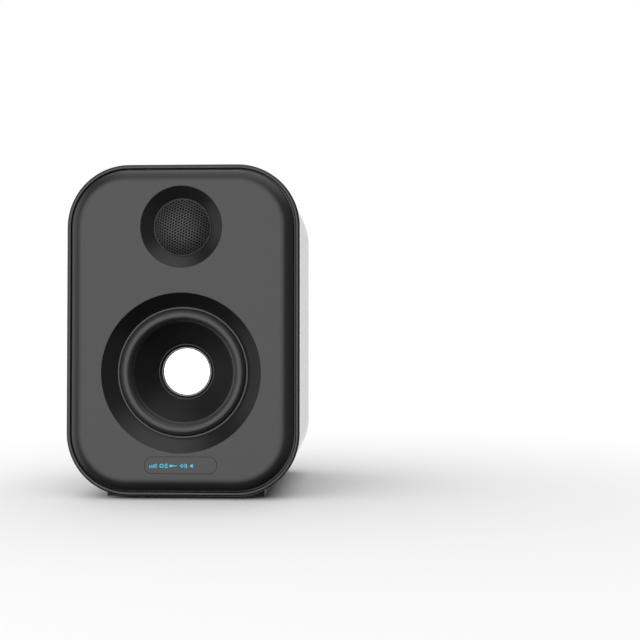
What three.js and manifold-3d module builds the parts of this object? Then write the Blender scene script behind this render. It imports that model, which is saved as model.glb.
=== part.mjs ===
// A bookshelf speaker: the powered one of a stereo pair, with a 4-inch woofer and a 1-inch tweeter.
// Millimetres, +Z up, the front faces -Y. The origin is in the middle of the footprint, on the shelf.
// Every piece is built in the rim frame, where y is the distance behind the plane of the front rim.
import * as THREE from "three";
import { mergeVertices } from "three/addons/utils/BufferGeometryUtils.js";
import Module from "manifold-3d";

const wasm = await Module();
wasm.setup();

// Clearances
const gap = 0.3; // between two pieces that touch
const runningGap = 0.5; // round a piece that moves

// Cabinet
const cabinetWidth = 168;
const cabinetHeight = 238;
const cabinetDepth = 172; // rim plane to flat back
const cornerRadius = 45;
const rearEdgeRadius = 32;
const shellWall = 4;
const rearWall = 5;
const shellInset = 0.5; // the shell stands this far inside the front frame
const trimDepth = 7;
const trimRimWidth = 3.25;
const trimFillet = 2;
const trimLedgeWidth = 5.75;
const trimLedgeThickness = 3.4;
const trimLipWall = 2;
const trimLipLength = 7;

// Baffle
const baffleProud = 7.5;
const baffleGroove = 0.9;
const bullnoseWidth = 10.5;
const baffleThickness = 4;

// Feet
const footHeight = 1.9;
const footSpan = 115.2;
const footDepth = 16;
const frontFootY = 14;
const rearFootMargin = 6; // to the start of the rounded rear edge

// Display
const windowWidth = 52;
const windowHeight = 12.6;
const windowCorner = 5.8;
const windowThickness = 1.9;
const windowToShelf = 18.7; // under the window
const windowToFlare = 2.4;
const guideWidth = 43.4;
const guideHeight = 7;
const boardThickness = 1.6;

// Woofer
const wooferOpening = 47; // radius of the driver's opening, at the back of the flare
const flareWidth = 9.7;
const flareDepth = 8.4;
const trimRingRim = 0.7;
const surroundWidth = 8.3;
const surroundRise = 4.2;
const surroundSkin = 0.8;
const coneSkin = 0.8;
const coneDepth = 19.7;
const coilRadius = 12.9;
const capRadius = 18.35;
const capRise = 1.8;
const basketBorder = 10; // outside the driver's opening
const flangeThickness = 2.2;
const basketDepth = 29.9;
const basketWall = 2.2;
const basketNeck = 33; // inner radius below the spider
const spiderSeatDepth = 21.6; // behind the basket's front face
const spiderSeatWidth = 4.6;
const plateThickness = 5;
const magnetRadius = 40;
const magnetThickness = 15;
const wooferScrewInset = 3.6;

// Tweeter
const flareSpacing = 18.15; // between the two flares
const hornOpening = 20.9;
const hornWidth = 8.05;
const hornDepth = 5.2;
const grilleRise = 5.2;
const grilleSkin = 0.6;
const domeRadius = 12.7;
const domeRise = 5;
const tweeterMagnetRadius = 27;
const tweeterMagnetDepth = 16;

// Rear panel
const panelWidth = 92;
const panelHeight = 124;
const panelCorner = 5;
const panelThickness = 2.3;
const panelLedge = 6;
const panelCentreZ = 102;
const panelScrewInset = 3.2;
const screwShank = 1.5;
const screwHead = 2.9;
const boardInset = 25.6; // flat back to the rear face of the main board

// Bass port
const portZ = 187;
const portRadius = 13;
const portWall = 2;
const portMouth = 17;
const portFlange = 19;
const portLength = 88;

// Controls and sockets, each by its place on the rear panel
const knobProud = 12; // from the flat back
const volumePlace = { x: -27, z: 145 };
const treblePlace = { x: 27, z: 145 };
const bassPlace = { x: 2, z: 145 };
const volumeKnobRadius = 9.5;
const toneKnobRadius = 7.5;
const volumeTravel = 0.5;
const digitalPlace = { x: 31, z: 118 };
const opticalPlace = { x: 9, z: 118 };
const auxPlace = { x: -11, z: 118 };
const dataPlace = { x: -31, z: 118 };
const terminalPlace = { x: 20, z: 80 };
const switchPlace = { x: -27, z: 88 };
const inletPlace = { x: -26, z: 60 };

// Places and sizes that follow from the ones above
const bottomZ = footHeight;
const centreZ = footHeight + cabinetHeight / 2;
const faceY = -baffleProud;
const baffleBackY = faceY + baffleThickness;
const backY = cabinetDepth;
const rearFootY = backY - rearEdgeRadius - rearFootMargin - footDepth;
const flareFront = wooferOpening + flareWidth;
const hornFront = hornOpening + hornWidth;
const windowCentreZ = windowToShelf + windowHeight / 2;
const wooferZ = windowCentreZ + windowHeight / 2 + windowToFlare + flareFront;
const tweeterZ = wooferZ + flareFront + flareSpacing + hornFront;
const surroundOuter = wooferOpening - 1.7;
const surroundInner = surroundOuter - surroundWidth;
const basketRadius = wooferOpening + basketBorder;
const panelInnerY = backY - panelThickness;
const flareBackY = faceY + flareDepth;
const basketY = flareBackY + 2.9; // front face of the basket's flange
const coneEdgeY = basketY - 0.9;
const topPlateY = basketY + basketDepth + gap;
const magnetY = topPlateY + plateThickness + gap;
const yokeY = magnetY + magnetThickness + gap;
const hornBackY = faceY + hornDepth;
const tweeterPlateY = hornBackY + 3.2;
const boardY = backY - boardInset;

// ---- Solids ---------------------------------------------------------------------------------

// A closed three.js geometry as a manifold solid.
function solid(geometry) {
  const bare = geometry.clone();
  bare.deleteAttribute("normal");
  bare.deleteAttribute("uv");
  const merged = mergeVertices(bare, 1e-4);
  const faces = [];
  for (let i = 0; i < merged.index.count; i += 3) {
    const [a, b, c] = [0, 1, 2].map((k) => merged.index.getX(i + k));
    if (a !== b && b !== c && c !== a) faces.push(a, b, c);
  }
  const vertProperties = merged.attributes.position.array;
  const mesh = new wasm.Mesh({ numProp: 3, vertProperties, triVerts: new Uint32Array(faces) });
  return new wasm.Manifold(mesh);
}

const join = (...solids) => solids.reduce((whole, piece) => whole.add(piece));
const cut = (whole, ...tools) => tools.reduce((left, tool) => left.subtract(tool), whole);

// A box between two corners.
function block([x0, y0, z0], [x1, y1, z1]) {
  const geometry = new THREE.BoxGeometry(x1 - x0, y1 - y0, z1 - z0);
  geometry.translate((x0 + x1) / 2, (y0 + y1) / 2, (z0 + z1) / 2);
  return solid(geometry);
}

// A box of a width and a height round a place on the front or the back, from y0 to y1.
function blockAt({ x, z }, width, height, y0, y1) {
  return block([x - width / 2, y0, z - height / 2], [x + width / 2, y1, z + height / 2]);
}

// A solid of revolution about a front-to-back axis. The profile is a closed list of [radius, y].
function turned({ x, z }, profile, segments = 24) {
  const twice = profile.reduce((sum, [r, y], i) => {
    const [nextR, nextY] = profile[(i + 1) % profile.length];
    return sum + r * nextY - nextR * y;
  }, 0);
  const points = profile.map(([r, y]) => new THREE.Vector2(r, y));
  if (twice < 0) points.reverse();
  points.push(points[0].clone());
  const geometry = new THREE.LatheGeometry(points, segments);
  geometry.translate(x, 0, z);
  return solid(geometry);
}

// A round bar or hole along y.
function rod(place, radius, y0, y1, segments = 20) {
  return turned(place, [[0, y0], [radius, y0], [radius, y1], [0, y1]], segments);
}

// Points of an elliptical arc in a profile, from angle a0 to a1. The half-axes lie along r and y.
function arc(centreR, centreY, halfR, halfY, a0, a1, steps) {
  return Array.from({ length: steps + 1 }, (_, i) => {
    const a = a0 + ((a1 - a0) * i) / steps;
    return [centreR + halfR * Math.cos(a), centreY + halfY * Math.sin(a)];
  });
}

// A spherical cap's profile, from the axis out to its rim, bulging towards -y.
function cap(rimRadius, rimY, rise, steps) {
  const ball = (rimRadius ** 2 + rise ** 2) / (2 * rise);
  const half = Math.asin(rimRadius / ball);
  return Array.from({ length: steps + 1 }, (_, i) => {
    const a = (half * i) / steps;
    return [ball * Math.sin(a), rimY - rise + ball * (1 - Math.cos(a))];
  });
}

function roundedOutline(width, height, radius) {
  const [w, h] = [width / 2 - radius, height / 2 - radius];
  const outline = new THREE.Shape();
  outline.absarc(w, h, radius, 0, Math.PI / 2);
  outline.absarc(-w, h, radius, Math.PI / 2, Math.PI);
  outline.absarc(-w, -h, radius, Math.PI, 1.5 * Math.PI);
  outline.absarc(w, -h, radius, 1.5 * Math.PI, 2 * Math.PI);
  return outline;
}

// A plate with round corners between y0 and y1, with a rounded edge at the front or at the back.
function plate({ width, height, radius, y0, y1, x = 0, z = centreZ, front, back, arcs = 4 }) {
  const edge = front ?? back ?? { inset: 0, depth: 0, steps: 1 };
  const spare = front || back ? edge.depth + 1 : 0; // the other end's edge is cut off again
  const length = y1 - y0 + spare;
  const geometry = new THREE.ExtrudeGeometry(roundedOutline(width, height, radius), {
    depth: length - 2 * edge.depth,
    bevelEnabled: Boolean(front || back),
    bevelThickness: edge.depth,
    bevelSize: edge.inset,
    bevelOffset: -edge.inset,
    bevelSegments: edge.steps,
    curveSegments: arcs,
  });
  geometry.rotateX(Math.PI / 2);
  geometry.translate(x, front ? y1 + spare - edge.depth : y1 - edge.depth, z);
  const whole = solid(geometry);
  if (!spare) return whole;
  const waste = front ? [y1, y1 + 2 * spare] : [y0 - 2 * spare, y0];
  return cut(whole, blockAt({ x, z }, width * 2, height * 2, ...waste));
}

// A round lead of a small diameter along a curve through the points.
function lead(points, radius) {
  const sides = 6;
  const outline = new THREE.Shape(
    Array.from({ length: sides }, (_, i) => {
      const a = (2 * Math.PI * i) / sides;
      return new THREE.Vector2(radius * Math.cos(a), radius * Math.sin(a));
    }),
  );
  const curve = new THREE.CatmullRomCurve3(points.map((p) => new THREE.Vector3(...p)));
  const sweep = { extrudePath: curve, steps: 16, bevelEnabled: false };
  return solid(new THREE.ExtrudeGeometry(outline, sweep));
}

const around = (place, radius, count, firstDegrees) =>
  Array.from({ length: count }, (_, i) => {
    const a = THREE.MathUtils.degToRad(firstDegrees + (360 * i) / count);
    return { x: place.x + radius * Math.cos(a), z: place.z + radius * Math.sin(a) };
  });

// ---- Finishes -------------------------------------------------------------------------------

const finish = (color, roughness, metalness = 0) =>
  new THREE.MeshStandardMaterial({ color, roughness, metalness });
const charcoal = finish(0x5c5c5c, 0.45);
const satinBlack = finish(0x1a1a1b, 0.35);
const shellBlack = finish(0x161617, 0.3);
const rubber = finish(0x101010, 0.85);
const pulp = finish(0x1c1c1e, 0.6);
const polished = finish(0xe8e8ea, 0.12, 1);
const steel = finish(0x9a9a9c, 0.35, 1);
const ferrite = finish(0x2c2b2c, 0.7);
const copper = finish(0xa65c32, 0.4, 1);
const cloth = finish(0xb38a48, 0.9);
const silk = finish(0x202024, 0.75);
const mesh = finish(0x3a3a3c, 0.45, 0.6);
const smoked = finish(0x555556, 0.2);
const clear = finish(0x2bb8e0, 0.3);
const board = finish(0x12402a, 0.5);
const brass = finish(0xc19a4a, 0.3, 1);
const wadding = finish(0xe6e4de, 1);
const red = finish(0xb51f22, 0.4);

// ---- Tree -----------------------------------------------------------------------------------

const speaker = new THREE.Group();
const rimFrame = new THREE.Group();
rimFrame.position.y = -(baffleProud + cabinetDepth + knobProud) / 2 + baffleProud;
speaker.add(rimFrame);

function part(name, shape, material) {
  const result = shape.getMesh();
  const geometry = new THREE.BufferGeometry();
  geometry.setAttribute("position", new THREE.BufferAttribute(result.vertProperties, 3));
  geometry.setIndex(new THREE.BufferAttribute(result.triVerts, 1));
  geometry.computeVertexNormals();
  const piece = new THREE.Mesh(geometry, material);
  piece.name = name;
  rimFrame.add(piece);
  return piece;
}

// ---- Cabinet --------------------------------------------------------------------------------

// The cabinet's outline, moved inwards by an inset, as the width, height and radius of a plate.
const outline = (inset) => ({
  width: cabinetWidth - 2 * inset,
  height: cabinetHeight - 2 * inset,
  radius: cornerRadius - inset,
});
const panelScrews = [1, -1].flatMap((side) =>
  [1, -1].map((level) => ({
    x: side * (panelWidth / 2 - panelScrewInset),
    z: panelCentreZ + level * (panelHeight / 2 - panelScrewInset),
  })),
);
const portPlace = { x: 0, z: portZ };
const portFlangeThickness = 1.8;

function cabinetShell() {
  const rearInset = rearEdgeRadius - shellInset;
  const outer = plate({
    ...outline(shellInset),
    y0: trimDepth + gap,
    y1: backY,
    back: { inset: rearInset, depth: rearEdgeRadius, steps: 6 },
  });
  const inner = plate({
    ...outline(shellInset + shellWall),
    y0: 0,
    y1: backY - rearWall,
    back: { inset: rearInset - shellWall, depth: rearEdgeRadius - rearWall, steps: 3 },
  });
  const recess = plate({
    width: panelWidth + 2 * gap,
    height: panelHeight + 2 * gap,
    radius: panelCorner + gap,
    y0: panelInnerY - gap,
    y1: backY + 1,
    z: panelCentreZ,
    arcs: 2,
  });
  const opening = plate({
    width: panelWidth - 2 * panelLedge,
    height: panelHeight - 2 * panelLedge,
    radius: panelCorner,
    y0: backY - 2 * rearWall,
    y1: backY + 1,
    z: panelCentreZ,
    arcs: 2,
  });
  const portRecess = rod(portPlace, portFlange + gap, backY - portFlangeThickness - gap, backY + 1, 24);
  const portHole = rod(portPlace, portRadius + portWall + gap, backY - 2 * rearWall, backY + 1, 24);
  const screwHoles = panelScrews.map((p) => rod(p, screwShank + gap, backY - 2 * rearWall, backY, 12));
  return cut(outer, inner, recess, opening, portRecess, portHole, ...screwHoles);
}

function frontTrimFrame() {
  const ledgeInset = trimRimWidth + trimLedgeWidth;
  const lipInset = shellInset + shellWall + gap;
  const lipEndY = trimDepth + trimLipLength;
  const fillet = { inset: trimFillet, depth: trimFillet, steps: 3 };
  const rim = plate({ ...outline(0), y0: 0, y1: trimDepth, front: fillet });
  const lip = plate({ ...outline(lipInset), y0: trimDepth - 1, y1: lipEndY });
  const seat = plate({ ...outline(trimRimWidth), y0: -1, y1: trimDepth - trimLedgeThickness });
  const ledgeHole = plate({ ...outline(ledgeInset), y0: 0, y1: trimDepth });
  const lipHole = plate({ ...outline(lipInset + trimLipWall), y0: trimDepth, y1: lipEndY + 1 });
  return cut(join(rim, lip), seat, ledgeHole, lipHole);
}

const wooferPlace = { x: 0, z: wooferZ };
const tweeterPlace = { x: 0, z: tweeterZ };
const windowPlace = { x: 0, z: windowCentreZ };

function frontBaffle() {
  const inset = trimRimWidth + baffleGroove;
  const baffleEndY = trimDepth - trimLedgeThickness - gap;
  const bullnose = { inset: bullnoseWidth, depth: baffleProud, steps: 6 };
  const outer = plate({ ...outline(inset), y0: faceY, y1: baffleEndY, front: bullnose });
  const hollow = plate({ ...outline(inset + baffleThickness + 0.5), y0: baffleBackY, y1: baffleEndY + 1 });
  const wooferHole = rod(wooferPlace, flareFront + trimRingRim + gap, faceY - 1, 0, 40);
  const tweeterHole = rod(tweeterPlace, hornFront + trimRingRim + gap, faceY - 1, 0, 32);
  const windowSeat = plate({
    width: windowWidth,
    height: windowHeight,
    radius: windowCorner,
    y0: faceY - 1,
    y1: faceY + windowThickness + gap,
    z: windowCentreZ,
    arcs: 2,
  });
  const guideHole = blockAt(windowPlace, guideWidth + 2 * gap, guideHeight + 2 * gap, faceY, 0);
  return cut(outer, hollow, wooferHole, tweeterHole, windowSeat, guideHole);
}

part("cabinet_shell", cabinetShell(), shellBlack);
part("front_trim_frame", frontTrimFrame(), satinBlack);
part("front_baffle", frontBaffle(), charcoal);

// The shell's outside, grown by the gap, trims the tops of the two foot strips.
const shellOutside = plate({ ...outline(shellInset - gap), y0: 0, y1: backY });
for (const [name, y] of [["foot_strip_front", frontFootY], ["foot_strip_rear", rearFootY]]) {
  const strip = block([-footSpan / 2, y, 0], [footSpan / 2, y + footDepth, bottomZ + cornerRadius / 4]);
  part(name, cut(strip, shellOutside), rubber);
}

// ---- Display --------------------------------------------------------------------------------

part(
  "display_window",
  plate({
    width: windowWidth - 2 * gap,
    height: windowHeight - 2 * gap,
    radius: windowCorner - gap,
    y0: faceY,
    y1: faceY + windowThickness,
    z: windowCentreZ,
    arcs: 2,
  }),
  smoked,
);
const guideY = faceY + windowThickness + 2 * gap;
const guideFlangeY = baffleBackY + gap;
const guideFlange = 1;
part(
  "indicator_light_guide",
  join(
    blockAt(windowPlace, guideWidth, guideHeight, guideY, guideFlangeY + guideFlange / 2),
    blockAt(windowPlace, guideWidth + 6, guideHeight + 3, guideFlangeY, guideFlangeY + guideFlange),
  ),
  clear,
);
const displayBoardY = guideFlangeY + guideFlange + gap;
part(
  "display_board",
  blockAt(windowPlace, guideWidth + 6, guideHeight + 3, displayBoardY, displayBoardY + boardThickness),
  board,
);

// ---- Woofer ---------------------------------------------------------------------------------

const wooferScrews = around(wooferPlace, basketRadius - wooferScrewInset, 4, 45);
const ringBackY = basketY - gap;
const surroundFlangeRadius = wooferOpening + 2.3;
const ringFlange = 1.8;

function wooferTrimRing() {
  const rim = flareFront + trimRingRim;
  const flangeY = baffleBackY + gap;
  const ring = turned(
    wooferPlace,
    [
      [flareFront, faceY],
      [rim, faceY],
      [rim, flangeY],
      [rim + 2.1, flangeY],
      [rim + 2.1, flangeY + ringFlange],
      [rim, flangeY + ringFlange],
      [rim, ringBackY],
      [surroundFlangeRadius + gap, ringBackY],
      [surroundFlangeRadius + gap, coneEdgeY - surroundSkin - gap],
      [wooferOpening, coneEdgeY - surroundSkin - gap],
      [wooferOpening, flareBackY],
    ],
    40,
  );
  return cut(ring, ...wooferScrews.map((p) => rod(p, screwShank + gap, 0, ringBackY + 1, 12)));
}

function wooferBasket() {
  const ledgeY = basketY + spiderSeatDepth;
  const seatRadius = basketNeck + spiderSeatWidth;
  const floorY = basketY + basketDepth - 1.7;
  const backFaceY = basketY + basketDepth;
  const flangeInner = surroundOuter - gap;
  const wall = basketWall;
  const shell = turned(
    wooferPlace,
    [
      [flangeInner, basketY],
      [basketRadius, basketY],
      [basketRadius, basketY + flangeThickness],
      [flangeInner + wall + 1.6, basketY + flangeThickness],
      [seatRadius + wall, ledgeY + wall],
      [basketNeck + wall, ledgeY + wall],
      [basketNeck + wall, backFaceY],
      [coilRadius + 3, backFaceY],
      [coilRadius + 3, floorY],
      [basketNeck, floorY],
      [basketNeck, ledgeY],
      [seatRadius, ledgeY],
      [flangeInner, basketY + 4.2],
    ],
    32,
  );
  const windowSpan = 44;
  const windowY0 = basketY + 6;
  const windowY1 = ledgeY - 3;
  const windows = [
    blockAt(wooferPlace, windowSpan, 3 * basketRadius, windowY0, windowY1),
    blockAt(wooferPlace, 3 * basketRadius, windowSpan, windowY0, windowY1),
  ];
  const holes = wooferScrews.map((p) => rod(p, screwShank + gap, 0, basketY + flangeThickness + 1, 12));
  return cut(shell, ...windows, ...holes);
}

// A rubber ring of half-round section between the basket and the cone's edge.
function wooferSurround() {
  const rollCentre = (surroundOuter + surroundInner) / 2;
  const rollHalf = (surroundOuter - surroundInner) / 2;
  const backFace = coneEdgeY + 0.6;
  const skin = surroundSkin;
  return turned(
    wooferPlace,
    [
      [surroundFlangeRadius, backFace - skin],
      [surroundFlangeRadius, backFace],
      ...arc(rollCentre, backFace, rollHalf - skin / 2, surroundRise - skin, 0, -Math.PI, 5),
      [surroundInner - 2, backFace],
      [surroundInner - 2, backFace - skin],
      ...arc(rollCentre, backFace - skin, rollHalf + skin / 2, surroundRise, -Math.PI, 0, 5),
    ],
    32,
  );
}

// The paper cone: a flat edge under the surround, then a gently curved funnel down to the coil.
const coneNeck = coilRadius + gap;
const coneTop = surroundInner - 1;
const coneFrontY = coneEdgeY + 0.9;
const coneY = (r) => coneFrontY + coneDepth * (1 - ((r - coneNeck) / (coneTop - coneNeck)) ** 1.04);
const coneSteps = 4;
function wooferCone() {
  const step = (coneTop - coneNeck) / coneSteps;
  const radii = Array.from({ length: coneSteps + 1 }, (_, i) => coneTop - step * i);
  return turned(
    wooferPlace,
    [
      [coneTop + 1.2, coneFrontY],
      ...radii.map((r) => [r, coneY(r)]),
      ...radii.reverse().map((r) => [r, coneY(r) + 1.3 * coneSkin]),
      [coneTop + 1.2, coneFrontY + coneSkin],
    ],
    32,
  );
}

// The metal disc over the coil: a shallow dome inside a rolled ring.
function wooferDustCap() {
  const rimY = coneY(capRadius) - gap;
  const ring = 1.3;
  return turned(
    wooferPlace,
    [
      ...cap(capRadius - ring, rimY - 0.4, capRise, 3),
      [capRadius - ring + 0.2, rimY - 0.9],
      [capRadius - 0.2, rimY - 0.7],
      [capRadius, rimY],
      [capRadius - ring, rimY + 0.6],
      ...cap(capRadius - 1.6 * ring, rimY + 0.4, capRise, 3).reverse(),
    ],
    28,
  );
}

const coilTopY = coneFrontY + coneDepth + gap;
const coilBottomY = magnetY + 6;
function wooferVoiceCoil() {
  const inner = coilRadius - 0.5;
  const windingY = topPlateY - 1;
  return turned(
    wooferPlace,
    [
      [inner, coilTopY],
      [coilRadius, coilTopY],
      [coilRadius, windingY],
      [coilRadius + 0.6, windingY],
      [coilRadius + 0.6, coilBottomY],
      [inner, coilBottomY],
    ],
    28,
  );
}

// The corrugated cloth disc that centres the coil and rests on the basket's ledge.
function wooferSpider() {
  const seatY = basketY + spiderSeatDepth - gap;
  const inner = coilRadius + gap;
  const outer = basketNeck + spiderSeatWidth - gap;
  const flatInner = basketNeck - gap;
  const skin = 0.5;
  const waves = 2;
  const steps = 4 * waves;
  const top = Array.from({ length: steps + 1 }, (_, i) => {
    const swing = i < steps ? 0.8 * Math.sin((2 * Math.PI * waves * i) / steps) : 0;
    return [inner + ((flatInner - inner) * i) / steps, seatY - skin + Math.min(swing, 0.5)];
  });
  return turned(
    wooferPlace,
    [...top, [outer, seatY - skin], [outer, seatY], ...top.map(([r, y]) => [r, y + skin]).reverse()],
    24,
  );
}

const ringPlate = (place, inner, outer, y0, y1, segments) =>
  turned(place, [[inner, y0], [outer, y0], [outer, y1], [inner, y1]], segments);
const poleRadius = coilRadius - 0.5 - runningGap;
const poleVent = 4;

part("woofer_trim_ring", wooferTrimRing(), satinBlack);
part("woofer_basket", wooferBasket(), satinBlack);
part("woofer_surround", wooferSurround(), rubber);
part("woofer_cone", wooferCone(), pulp);
part("woofer_dust_cap", wooferDustCap(), polished);
part("woofer_voice_coil", wooferVoiceCoil(), copper);
part("woofer_spider", wooferSpider(), cloth);
const gapRadius = coilRadius + 0.6 + runningGap;
part(
  "woofer_top_plate",
  ringPlate(wooferPlace, gapRadius, magnetRadius - 2, topPlateY, topPlateY + plateThickness, 28),
  steel,
);
part(
  "woofer_magnet",
  ringPlate(wooferPlace, gapRadius + 3, magnetRadius, magnetY, magnetY + magnetThickness, 28),
  ferrite,
);
part(
  "woofer_pole_plate",
  turned(
    wooferPlace,
    [
      [poleVent, topPlateY],
      [poleRadius, topPlateY],
      [poleRadius, yokeY],
      [magnetRadius - 2, yokeY],
      [magnetRadius - 2, yokeY + plateThickness],
      [poleVent, yokeY + plateThickness],
    ],
    28,
  ),
  steel,
);

// A pan-head screw with a slot. The shank runs from the seat in the given direction along y.
function screw(place, seatY, direction, length) {
  const headY = seatY - direction * 1.9;
  const profile = [
    [0, headY],
    [screwHead - 0.6, headY],
    [screwHead, headY + direction * 0.7],
    [screwHead, seatY],
    [screwShank, seatY],
    [screwShank, seatY + direction * length],
    [0, seatY + direction * length],
  ];
  const [slotY0, slotY1] = [headY - direction, headY + direction * 1].sort((a, b) => a - b);
  return cut(turned(place, profile, 10), blockAt(place, 3.2, 0.8, slotY0, slotY1));
}

wooferScrews.forEach((place, i) => {
  part(`woofer_screw_${i + 1}`, screw(place, basketY + flangeThickness + gap, -1, 6), steel);
});

// ---- Tweeter --------------------------------------------------------------------------------

const hornEndY = hornBackY + 2;
function tweeterWaveguide() {
  const rim = hornFront + trimRingRim;
  const flangeY = baffleBackY + gap;
  return turned(
    tweeterPlace,
    [
      [hornFront, faceY],
      [rim, faceY],
      [rim, flangeY],
      [rim + 3.4, flangeY],
      [rim + 3.4, flangeY + ringFlange],
      [rim, flangeY + ringFlange],
      [rim, hornEndY],
      [hornOpening, hornEndY],
      [hornOpening, hornBackY],
    ],
    32,
  );
}

const grilleRadius = hornOpening - 0.4;
function tweeterGrille() {
  const rimY = hornBackY + 0.5;
  const flangeY = hornEndY + gap;
  return turned(
    tweeterPlace,
    [
      ...cap(grilleRadius, rimY, grilleRise, 4),
      [grilleRadius, flangeY],
      [grilleRadius + 3.5, flangeY],
      [grilleRadius + 3.5, flangeY + grilleSkin],
      [grilleRadius - grilleSkin, flangeY + grilleSkin],
      ...cap(grilleRadius - grilleSkin, rimY + 0.1, grilleRise - grilleSkin + 0.1, 4).reverse(),
    ],
    28,
  );
}

const tweeterMagnetY = tweeterPlateY + 5.8;
const domeRimY = tweeterPlateY + 3.8;
const tweeterWell = domeRadius + 2.9;
function tweeterFaceplate() {
  const rim = hornFront + 1;
  return turned(
    tweeterPlace,
    [
      [tweeterWell, tweeterPlateY],
      [rim, tweeterPlateY],
      [rim, tweeterPlateY + 3],
      [tweeterMagnetRadius, tweeterPlateY + 3],
      [tweeterMagnetRadius, tweeterMagnetY - gap],
      [tweeterWell + 4.6, tweeterMagnetY - gap],
      [tweeterWell + 4.6, tweeterPlateY + 3],
      [tweeterWell, tweeterPlateY + 3],
    ],
    24,
  );
}

function tweeterSurround() {
  const y = tweeterPlateY + 3 + gap;
  const skin = 0.4;
  const inner = domeRadius + gap;
  const half = (tweeterWell - inner) / 2;
  return turned(
    tweeterPlace,
    [
      [tweeterWell + 4.2, y],
      [tweeterWell + 4.2, y + skin],
      ...arc(inner + half, y + skin, half - skin, 1.1, 0, -Math.PI, 3),
      [inner, y + skin],
      ...arc(inner + half, y, half, 1.2, -Math.PI, 0, 3),
    ],
    24,
  );
}

const domeGrooveY = tweeterMagnetY + 5;
function tweeterDome() {
  const skin = 0.4;
  const coilEndY = domeGrooveY - 1;
  return turned(
    tweeterPlace,
    [
      ...cap(domeRadius, domeRimY, domeRise, 4),
      [domeRadius, coilEndY],
      [domeRadius - skin, coilEndY],
      ...cap(domeRadius - skin, domeRimY + 0.1, domeRise - skin + 0.1, 4).reverse(),
    ],
    24,
  );
}

const tweeterMagnetEndY = tweeterMagnetY + tweeterMagnetDepth;
part("tweeter_waveguide", tweeterWaveguide(), satinBlack);
part("tweeter_grille", tweeterGrille(), mesh);
part("tweeter_faceplate", tweeterFaceplate(), satinBlack);
part("tweeter_surround", tweeterSurround(), silk);
part("tweeter_dome", tweeterDome(), silk);
part(
  "tweeter_magnet",
  cut(
    rod(tweeterPlace, tweeterMagnetRadius, tweeterMagnetY, tweeterMagnetEndY, 28),
    ringPlate(tweeterPlace, domeRadius - 0.4 - runningGap, domeRadius + runningGap, 0, domeGrooveY, 28),
  ),
  ferrite,
);

// ---- Rear panel and port --------------------------------------------------------------------

const through = [panelInnerY - 40, backY + 20]; // a y range that passes through the panel
const panelHole = (place, width, height) =>
  blockAt(place, width + 2 * gap, height + 2 * gap, through[0], through[1]);
const roundHole = (place, radius) => rod(place, radius + gap, through[0], through[1], 20);

const bushRadius = 3.4;
const volumeShaftRadius = 3;
const toneShaftRadius = 2;
const digitalSize = { width: 16, height: 7.2 };
const opticalSize = { width: 13, height: 13.6 };
const auxNose = 3.9;
const dataSize = { width: 14.6, height: 7.6 };
const terminalSize = { width: 36, height: 24 };
const switchSize = { width: 13, height: 19 };
const inletSize = { width: 20, height: 12 };
const postRadius = 2.6;
const posts = [1, -1].flatMap((side) =>
  [1, -1].map((level) => ({
    x: side * (panelWidth / 2 - panelLedge - 3.4),
    z: panelCentreZ + level * (panelHeight / 2 - panelLedge - 3.4),
  })),
);

function rearPanel() {
  const sheet = plate({
    width: panelWidth,
    height: panelHeight,
    radius: panelCorner,
    y0: panelInnerY,
    y1: backY,
    z: panelCentreZ,
    arcs: 2,
  });
  const pillars = posts.map((p) => rod(p, postRadius, boardY + gap, panelInnerY + 1, 10));
  return cut(
    join(sheet, ...pillars),
    ...panelScrews.map((p) => rod(p, screwShank + gap, through[0], through[1], 12)),
    roundHole(volumePlace, bushRadius),
    roundHole(treblePlace, toneShaftRadius),
    roundHole(bassPlace, toneShaftRadius),
    panelHole(digitalPlace, digitalSize.width, digitalSize.height),
    panelHole(opticalPlace, opticalSize.width, opticalSize.height),
    roundHole(auxPlace, auxNose),
    panelHole(dataPlace, dataSize.width, dataSize.height),
    panelHole(terminalPlace, terminalSize.width, terminalSize.height),
    panelHole(switchPlace, switchSize.width, switchSize.height),
    panelHole(inletPlace, inletSize.width, inletSize.height),
  );
}

function reflexPort() {
  const flare = portMouth - portRadius;
  const flareLength = 9;
  const flangeY = backY - portFlangeThickness;
  return turned(
    portPlace,
    [
      [portRadius, backY - portLength],
      [portRadius + portWall, backY - portLength],
      [portRadius + portWall, flangeY],
      [portFlange, flangeY],
      [portFlange, backY],
      ...arc(portMouth, backY - flareLength, flare, flareLength, Math.PI / 2, Math.PI, 4),
    ],
    24,
  );
}

part("rear_panel", rearPanel(), satinBlack);
panelScrews.forEach((place, i) => {
  part(`rear_panel_screw_${i + 1}`, screw(place, backY + gap, -1, 6), steel);
});
part("reflex_port", reflexPort(), satinBlack);

// ---- Electronics ----------------------------------------------------------------------------

const boardTop = panelCentreZ + panelHeight / 2 - panelLedge - 1;
const boardBottom = panelCentreZ - panelHeight / 2 + panelLedge + 1;
const boardHalf = panelWidth / 2 - panelLedge - 1;
part(
  "main_board",
  block([-boardHalf, boardY - boardThickness, boardBottom], [boardHalf, boardY, boardTop]),
  board,
);
const boardFrontY = boardY - boardThickness - gap;
part("transformer", transformer(), steel);
part(
  "reservoir_capacitor",
  rod({ x: 22, z: boardBottom + 14 }, 8, boardFrontY - 26, boardFrontY, 20),
  satinBlack,
);
part("heat_sink", heatSink(), steel);

// An iron core with its winding on the middle leg.
function transformer() {
  const place = { x: -18, z: boardBottom + 16 };
  const core = blockAt(place, 32, 22, boardFrontY - 27, boardFrontY);
  const winding = blockAt(place, 22, 28, boardFrontY - 22, boardFrontY - 5);
  return join(core, winding);
}

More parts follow.
